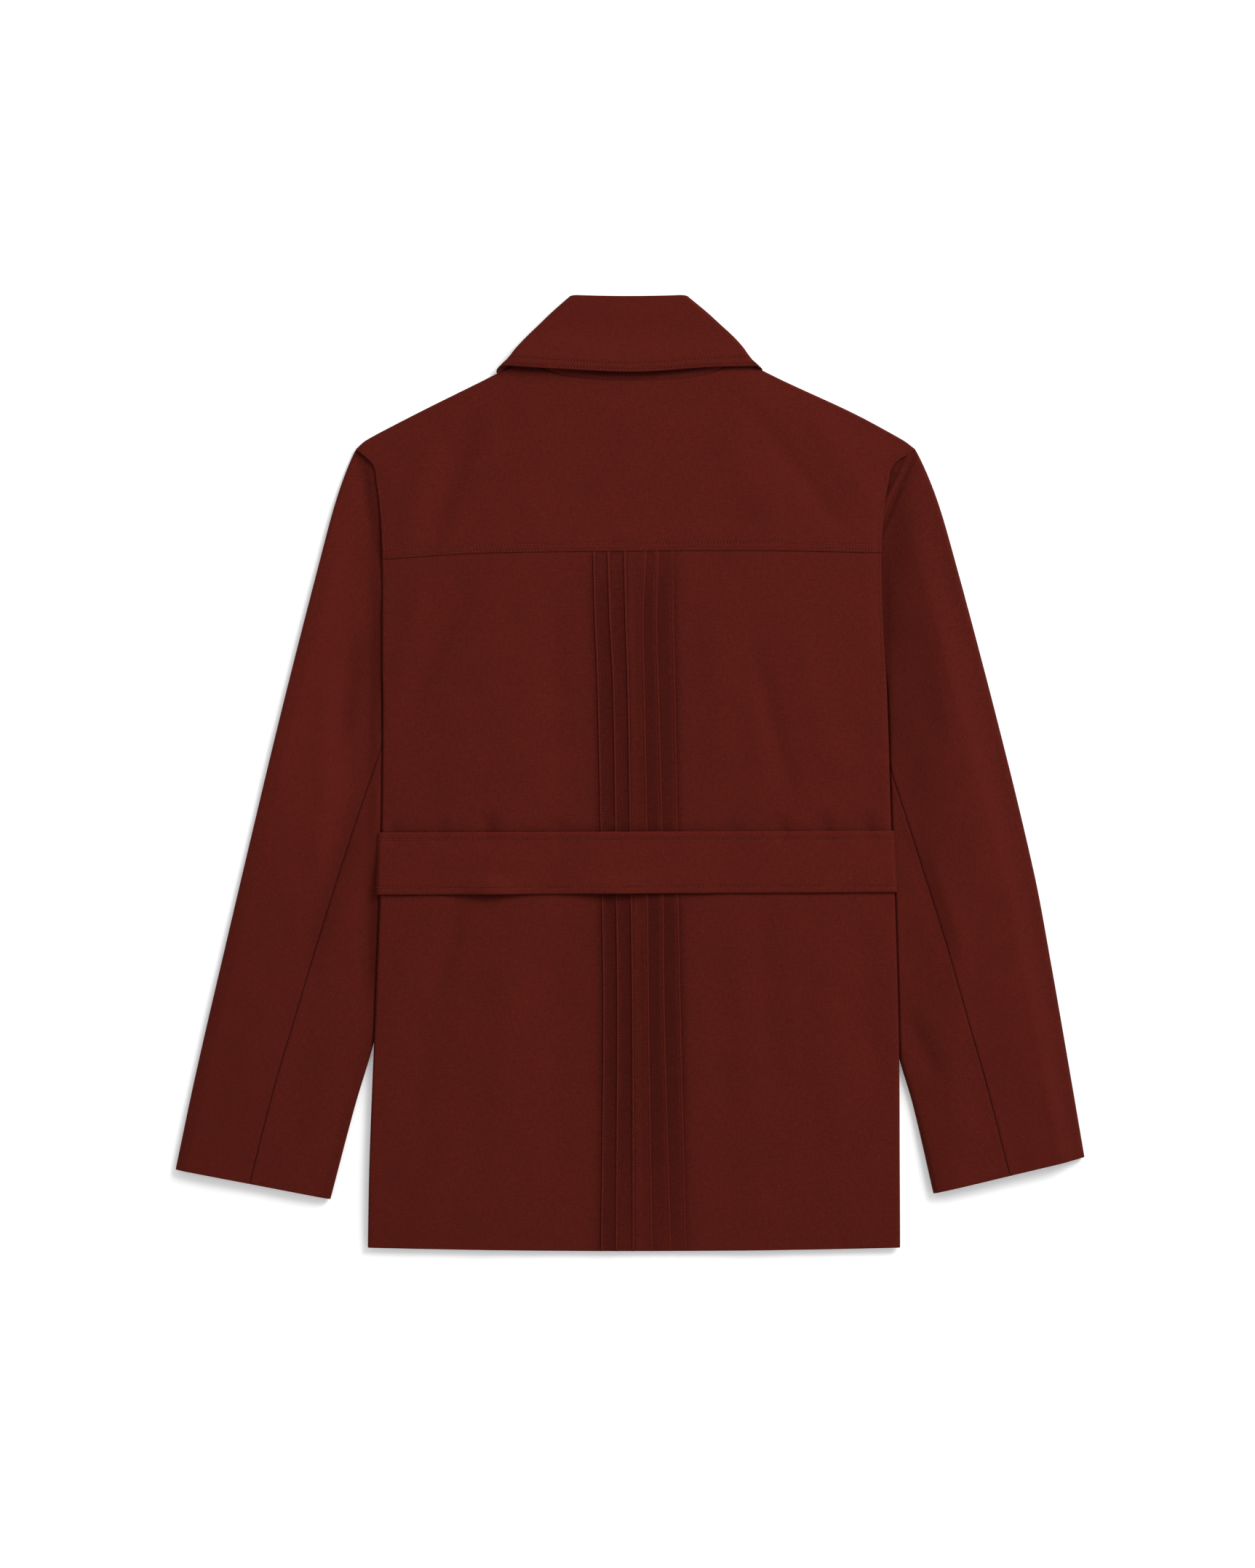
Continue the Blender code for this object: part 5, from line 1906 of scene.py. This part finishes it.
@dataclass
class Front:
    """A front, which lies under the back: plain, raised where the sleeve or the collar is under it."""

    sleeve: SleeveOutline
    form: JacketForm = FORM
    shoulder_inset: float = 0.0028
    armhole_inset: float = 0.0016
    neck_depth: float = 0.0544
    wall: float = 0.0011
    even_rows: int = 120
    columns: int = 44
    rows: tuple[float, ...] = (
        -0.3985, -0.340, -0.280, -0.230, -0.170, -0.110, -0.050, 0.010, 0.050, 0.083, 0.0975, 0.125,
        0.173, 0.205, 0.232, 0.252, 0.266, 0.2835, 0.2975, 0.2995, 0.310, 0.330, 0.347,
    )
    cut: Cut = Cut(0.250, 0.750, 0.1600, ())

    def outer_x(self, y: Array) -> Array:
        """The front's outer edge: side edge, then armhole, then shoulder."""
        form, side = self.form, self.sleeve.side
        body = form.edge_x(y, side) - side.value * form.front_inset
        head = np.array(self.sleeve.head[::-1])
        armhole = eased_through(head[:, 1], head[:, 0], y) - side.value * self.armhole_inset
        table = np.array(form.shoulders)
        column = 1 if side is Side.LEFT else 2
        shoulder = eased_through(table[:, 0], table[:, column], y + self.shoulder_inset)
        above = y > form.shoulders[0][0] - form.edge_turn
        return np.where(y < self.sleeve.inner[0][1], body, np.where(above, shoulder, armhole))

    def inner_x(self, y: Array) -> Array:
        """The front's inner edge: past the centre by the lap, then the front neck seam."""
        form, side = self.form, self.sleeve.side.value
        depth = (form.neck_point_y - y) / self.neck_depth
        neck = form.centre_x + side * form.neck_half_width * np.sqrt(np.maximum(1 - depth**2, 0.0))
        return np.where(depth > 1, form.centre_x - side * form.front_lap, neck)

    def shell(self) -> ClothShell:
        """The front's wall: rows up the front between its inner and outer edges.

        Returns:
            The shell; its outer face is the one that faces the floor.
        """
        knots = np.array(self.rows)
        even = np.linspace(knots[0], knots[-1], self.even_rows)
        y = np.unique(np.concatenate((knots, even)))[:, None]
        inner = np.interp(y, knots, self.inner_x(knots))
        outer = np.interp(y, knots, self.outer_x(knots))
        x = mix(inner, outer, np.linspace(0.0, 1.0, self.columns)[None, :])
        y = y + np.zeros_like(x)
        low = self.form.front_low(x, y, self.sleeve)
        down = np.stack((x, y, low), axis=-1)
        up = np.stack((x, y, low + self.wall), axis=-1)
        grain = np.stack((x, y), axis=-1)
        return ClothShell(f"front_{self.sleeve.side.word}_cloth", down, up, grain, np.zeros_like(x))

    def build(self, finishes: Finishes) -> None:
        """Makes the front.

        Args:
            finishes: the jacket's materials.
        """
        piece = self.shell().build(finishes.cloth)
        self.cut.declare(piece, f"front_{self.sleeve.side.word}")


@dataclass
class Sleeve:
    """A two-piece sleeve pressed flat: the upper piece round the outer fold, the under round the inner."""

    outline: SleeveOutline
    form: JacketForm = FORM
    wall: float = 0.0009
    seam_gap: float = 0.00004
    front_seam: float = 0.80
    loft_head: float = 0.0038
    loft_inner: float = 0.0040
    loft_outer: float = 0.0050
    full_to: float = 0.62
    full_run: float = 0.40
    head_run: float = 0.25
    roll_share: float = 0.95
    cuff_turn: float = 0.0004
    quick_runs: Point = (0.0018, 0.010)
    tucked_under: float = 0.008
    slow_run: float = 0.055
    # Painted shade in the creases' troughs, as tone per metre of depth
    crease_painted_shade: float = 80.0
    least_height: float = 0.0022
    upper_cut: Cut = Cut(0.300, 0.630, 0.1180, ())
    under_cut: Cut = Cut(0.130, 0.515, 0.0445, ())
    rows: int = 290
    # The share of finer rows at the cuff, the run of those rows and their count
    cuff_band: float = 0.004
    cuff_run: float = 0.0025
    cuff_rows: int = 4
    # Counts of columns round a fold, and on the lower and upper wall of each piece
    fold_columns: int = 16
    upper_columns: tuple[int, int] = (30, 84)
    under_columns: tuple[int, int] = (8, 60)
    seam_steps: tuple[float, ...] = (0.0040, 0.0026, 0.0016, 0.0009, 0.0004, 0.0)
    length: float = 0.62
    cuff_turn_run: float = 0.0008
    underarm_run: float = 0.04
    crease_run: float = 0.004
    slow_head: float = 0.06
    # The puff beside the body: distance out and half width, then where it begins and ends, with their runs
    puff: Point = (0.004, 0.006)
    puff_ends: tuple[Point, Point] = ((-0.095, 0.050), (0.278, 0.030))
    # The elbow seam: depth and run of its edge, the puff beside it, and its tone and width
    seam_edge: Point = (0.0007, 0.0010)
    seam_puff: Triple = (0.003, 0.002, 0.0002)
    seam_tone: Point = (-0.60, 0.0007)
    cuff_wear: Point = (0.05, 0.0015)
    # Where the painted shade in the hollow and the painted light away from the body begin, with their runs
    hollow_shade_end: Point = (-0.080, 0.120)
    painted_light_start: Point = (0.014, 0.030)
    painted_light_end: Point = (-0.160, 0.160)
    # Shares across that the painted shade at the folds reaches, and the outer one's run at the head
    rim_runs: Point = (0.20, 0.09)
    rim_head: float = 0.15

    def loft(self, across: Array, down: Array) -> Array:
        """Height of the upper wall: flat at the head and under the body, fuller outside."""
        full = mix(self.loft_inner, self.loft_outer, smooth((self.full_to - across) / self.full_run))
        return mix(self.loft_head, full, smooth(down / self.head_run))

    def section(self, piece: SleevePiece, down: Array) -> tuple[Array, Array, Array]:
        """Places of a piece across the sleeve: lower wall, half ellipse round its fold, upper wall.

        Args:
            piece: which of the two pieces.
            down: shares from head to cuff, as a column.

        Returns:
            Shares across, shares of the wall's height, and distances from the elbow seam.
        """
        width, seam = self.outline.width(down), self.outline.elbow(down)
        gap = self.seam_gap / 2 / width
        roll = self.roll_share * self.loft(np.zeros_like(down), down) / width
        angle = np.linspace(0.0, math.pi, self.fold_columns)[None, :]
        near = np.array(self.seam_steps)[None, :] / width
        swing = roll * (1 - np.sin(angle))
        if piece is SleevePiece.UPPER:
            low_count, top_count = self.upper_columns
            way, fold, turn = -1, swing, roll
        else:
            low_count, top_count = self.under_columns
            way, fold, turn = 1, 1 - swing, 1 - roll
        end = seam + way * gap
        low = mix(self.front_seam + way * gap, turn, np.linspace(0.0, 1.0, low_count)[None, :-1])
        top = mix(turn, end + way * near[:, :1], np.linspace(0.0, 1.0, top_count)[None, 1:-1])
        top = np.concatenate((top, end + way * near), axis=1)
        off_seam = way * (top - end) * width
        raised = (1 - np.cos(angle)) / 2 + np.zeros_like(fold)
        up = np.concatenate((np.zeros_like(low), raised, np.ones_like(top)), axis=1)
        far = np.full((len(down), low.shape[1] + fold.shape[1]), 1.0)
        return np.concatenate((low, fold, top), axis=1), up, np.concatenate((far, off_seam), axis=1)

    def beside_body(self, outside: Array, y: Array) -> Array:
        """Where the sleeve puffs up beside the body, at distances out from its edge: shares of the rise."""
        (low, low_run), (high, high_run) = self.puff_ends
        reach = smooth((y - low) / low_run) * smooth((high - y) / high_run)
        return bell(outside - self.puff[0], self.puff[1]) * reach

    def shades(self, across: Array, down: Array, outside: Array, y: Array) -> Array:
        """Slow changes of tone: painted shade in the hollow beside the body, painted light beyond it and
        painted shade at both rolled folds.

        Args:
            across: shares from the outer to the inner fold.
            down: shares from head to cuff.
            outside: distances out from the body's edge.
            y: places along.

        Returns:
            The summed tones.
        """
        # Painted shade beside the body, painted light away from it and painted shade at the folds
        shade, shade_run = self.outline.hollow_painted_shade
        tone = shade * (1 - smooth(outside / shade_run)) * ramp(y, self.hollow_shade_end)
        tone = tone + self.outline.fade * ramp(outside, self.painted_light_start) * ramp(y, self.painted_light_end)
        (outer_fold_shade, inner_fold_shade), (outer_run, inner_run) = self.outline.fold_painted_shades, self.rim_runs
        tone = tone + outer_fold_shade * (1 - smooth(across / outer_run)) * smooth(down / self.rim_head)
        return tone + inner_fold_shade * (1 - smooth((1 - across) / inner_run))

    def shell(self, piece: SleevePiece) -> ClothShell:
        """A piece's wall, its upper side creased, its edge rounded into the elbow seam.

        Args:
            piece: which of the two pieces.

        Returns:
            The shell.
        """
        plain = np.linspace(0.0, 1 - self.cuff_band, self.rows)
        cuff = 1 - rounded_steps(self.cuff_run, self.cuff_rows)[::-1]
        down = np.concatenate((plain, cuff))[:, None]
        across, up, off_seam = self.section(piece, down)
        place = self.outline.place(across, down + np.zeros_like(across))
        x, y = place[..., 0], place[..., 1]
        outside = (x - self.form.edge_x(y, self.outline.side)) * self.outline.side.value
        sewn_in = smooth((y - self.form.underarm_y) / self.underarm_run + 0.5)
        folds = crease_heights(self.outline.creases, x, y) * smooth(outside / self.crease_run + 1)
        # Painted shade in the troughs of the creases
        crease_shade = np.minimum(folds, 0.0) * self.crease_painted_shade
        folds = folds + slow_waves(x, y) + self.outline.seam_rise * self.beside_body(outside, y)
        reach = outside + self.tucked_under * sewn_in
        quick = np.maximum(self.form.side_lift(y) - self.form.layer_gap, 0.0)
        quick = quick * smooth(reach / mix(*self.quick_runs, sewn_in))
        slow = self.outline.full_rise * smooth(outside / self.slow_run) * smooth(down / self.slow_head)
        full = quick + slow * smooth(across / self.outline.fold_share)
        height = np.maximum(self.loft(across, down) + folds + full, self.least_height)
        sewn = edge_drop(off_seam, *self.seam_edge) - puffed(off_seam, self.seam_puff)
        to_cuff = (1 - down) * self.length
        at_cuff = self.cuff_turn * bell(to_cuff, self.cuff_turn_run)
        z = up * (height - sewn - at_cuff)
        outer = np.stack((x, y, z), axis=-1)
        name = f"sleeve_{piece.value}_{self.outline.side.word}_cloth"
        tone = crease_shade + self.shades(across, down, outside, y)
        tone = tone + wear(off_seam, self.seam_tone) + wear(to_cuff, self.cuff_wear)
        lower = outer - np.array((0.0, 0.0, self.wall))
        shell = ClothShell(name, outer, lower, surface_grain(outer), tone)
        out = unit(np.cross(*shell.tangents()))
        upper_side = np.where(up >= 1.0, 1.0, 0.0)
        sign = math.copysign(1.0, float(np.sum(out[..., 2] * upper_side)))
        shell.inner = outer - out * (sign * self.wall)
        return shell

    def build(self, finishes: Finishes) -> None:
        """Makes the upper and the under sleeve.

        Args:
            finishes: the jacket's materials.
        """
        cuts = {SleevePiece.UPPER: self.upper_cut, SleevePiece.UNDER: self.under_cut}
        for piece, cut in cuts.items():
            made = self.shell(piece).build(finishes.cloth)
            cut.declare(made, f"sleeve_{piece.value}_{self.outline.side.word}")


@dataclass
class Studio:
    """A pale floor, soft light from above and from the upper right, and a camera straight above."""

    aim: Point = (-0.00214, -0.00917)
    subject_z: float = 0.006
    frame_height: float = 1.3184
    lens: float = 100.0
    sensor: float = 36.0
    floor_half: float = 5.0
    floor_z: float = -0.0006
    floor_colour: Triple = (0.96, 0.96, 0.96)
    floor_shade: float = 0.985
    floor_glow: float = 0.16
    sky: float = 0.62
    key_place: Triple = (2.1, 2.0, 2.35)
    key_size: float = 2.0
    key_power: float = 134.0

    def camera(self) -> None:
        """Puts the camera above the jacket, at the distance that frames it."""
        data = bpy.data.cameras.new("camera")
        data.lens, data.sensor_width = self.lens, self.sensor
        data.clip_end = 100.0
        eye = bpy.data.objects.new("camera", data)
        distance = self.frame_height * self.lens / self.sensor
        eye.location = (*self.aim, self.subject_z + distance)
        bpy.context.scene.collection.objects.link(eye)
        bpy.context.scene.camera = eye

    def floor(self) -> None:
        """Lays the floor, a pale sheet with a very slight unevenness of shade."""
        graph = ShaderGraph("pale_floor")
        place = graph.node("ShaderNodeTexCoord", output="Object")
        shade = graph.noise(place, (3.0, 3.0, 3.0))
        low = tuple(value * self.floor_shade for value in self.floor_colour)
        graph.set_shader(
            {
                "Base Color": graph.blend(0.5 + shade, low, self.floor_colour),
                "Roughness": 0.9,
                "Emission Color": (1.0, 1.0, 1.0, 1.0),
                "Emission Strength": self.floor_glow,
            }
        )
        half = self.floor_half
        corners = [(-half, -half), (half, -half), (half, half), (-half, half)]
        mesh = bpy.data.meshes.new("floor")
        mesh.from_pydata([(x, y, self.floor_z) for x, y in corners], [], [(0, 1, 2, 3)])
        finished_object("floor", mesh, graph.material)

    def light(self) -> None:
        """Lights the jacket: an even sky and one broad light."""
        world = bpy.data.worlds.new("studio")
        world.use_nodes = True
        sky = world.node_tree.nodes["Background"].inputs
        sky["Color"].default_value = (1.0, 1.0, 1.0, 1.0)
        sky["Strength"].default_value = self.sky
        bpy.context.scene.world = world
        data = bpy.data.lights.new("key", "AREA")
        data.size, data.energy = self.key_size, self.key_power
        key = bpy.data.objects.new("key", data)
        key.location = self.key_place
        x, y, z = self.key_place
        key.rotation_euler = (0.0, math.atan2(math.hypot(x, y), z), math.atan2(y, x))
        bpy.context.scene.collection.objects.link(key)

    def build(self) -> None:
        """Sets up camera, floor and light."""
        self.camera()
        self.floor()
        self.light()
        bpy.context.scene.view_settings.view_transform = "Standard"


def main() -> None:
    """Builds the studio and the jacket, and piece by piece."""
    logging.basicConfig(level=logging.INFO, format="%(message)s")
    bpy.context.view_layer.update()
    Studio().build()
    finishes = Finishes(ClothFinish().material(), ThreadFinish().material())
    BackYoke().build(finishes)
    BackPanel().build(finishes)
    HalfBelt().build(finishes)
    Collar().build(finishes)
    for outline in (LEFT_SLEEVE, RIGHT_SLEEVE):
        Front(outline).build(finishes)
        Sleeve(outline).build(finishes)


if __name__ == "__main__":
    main()
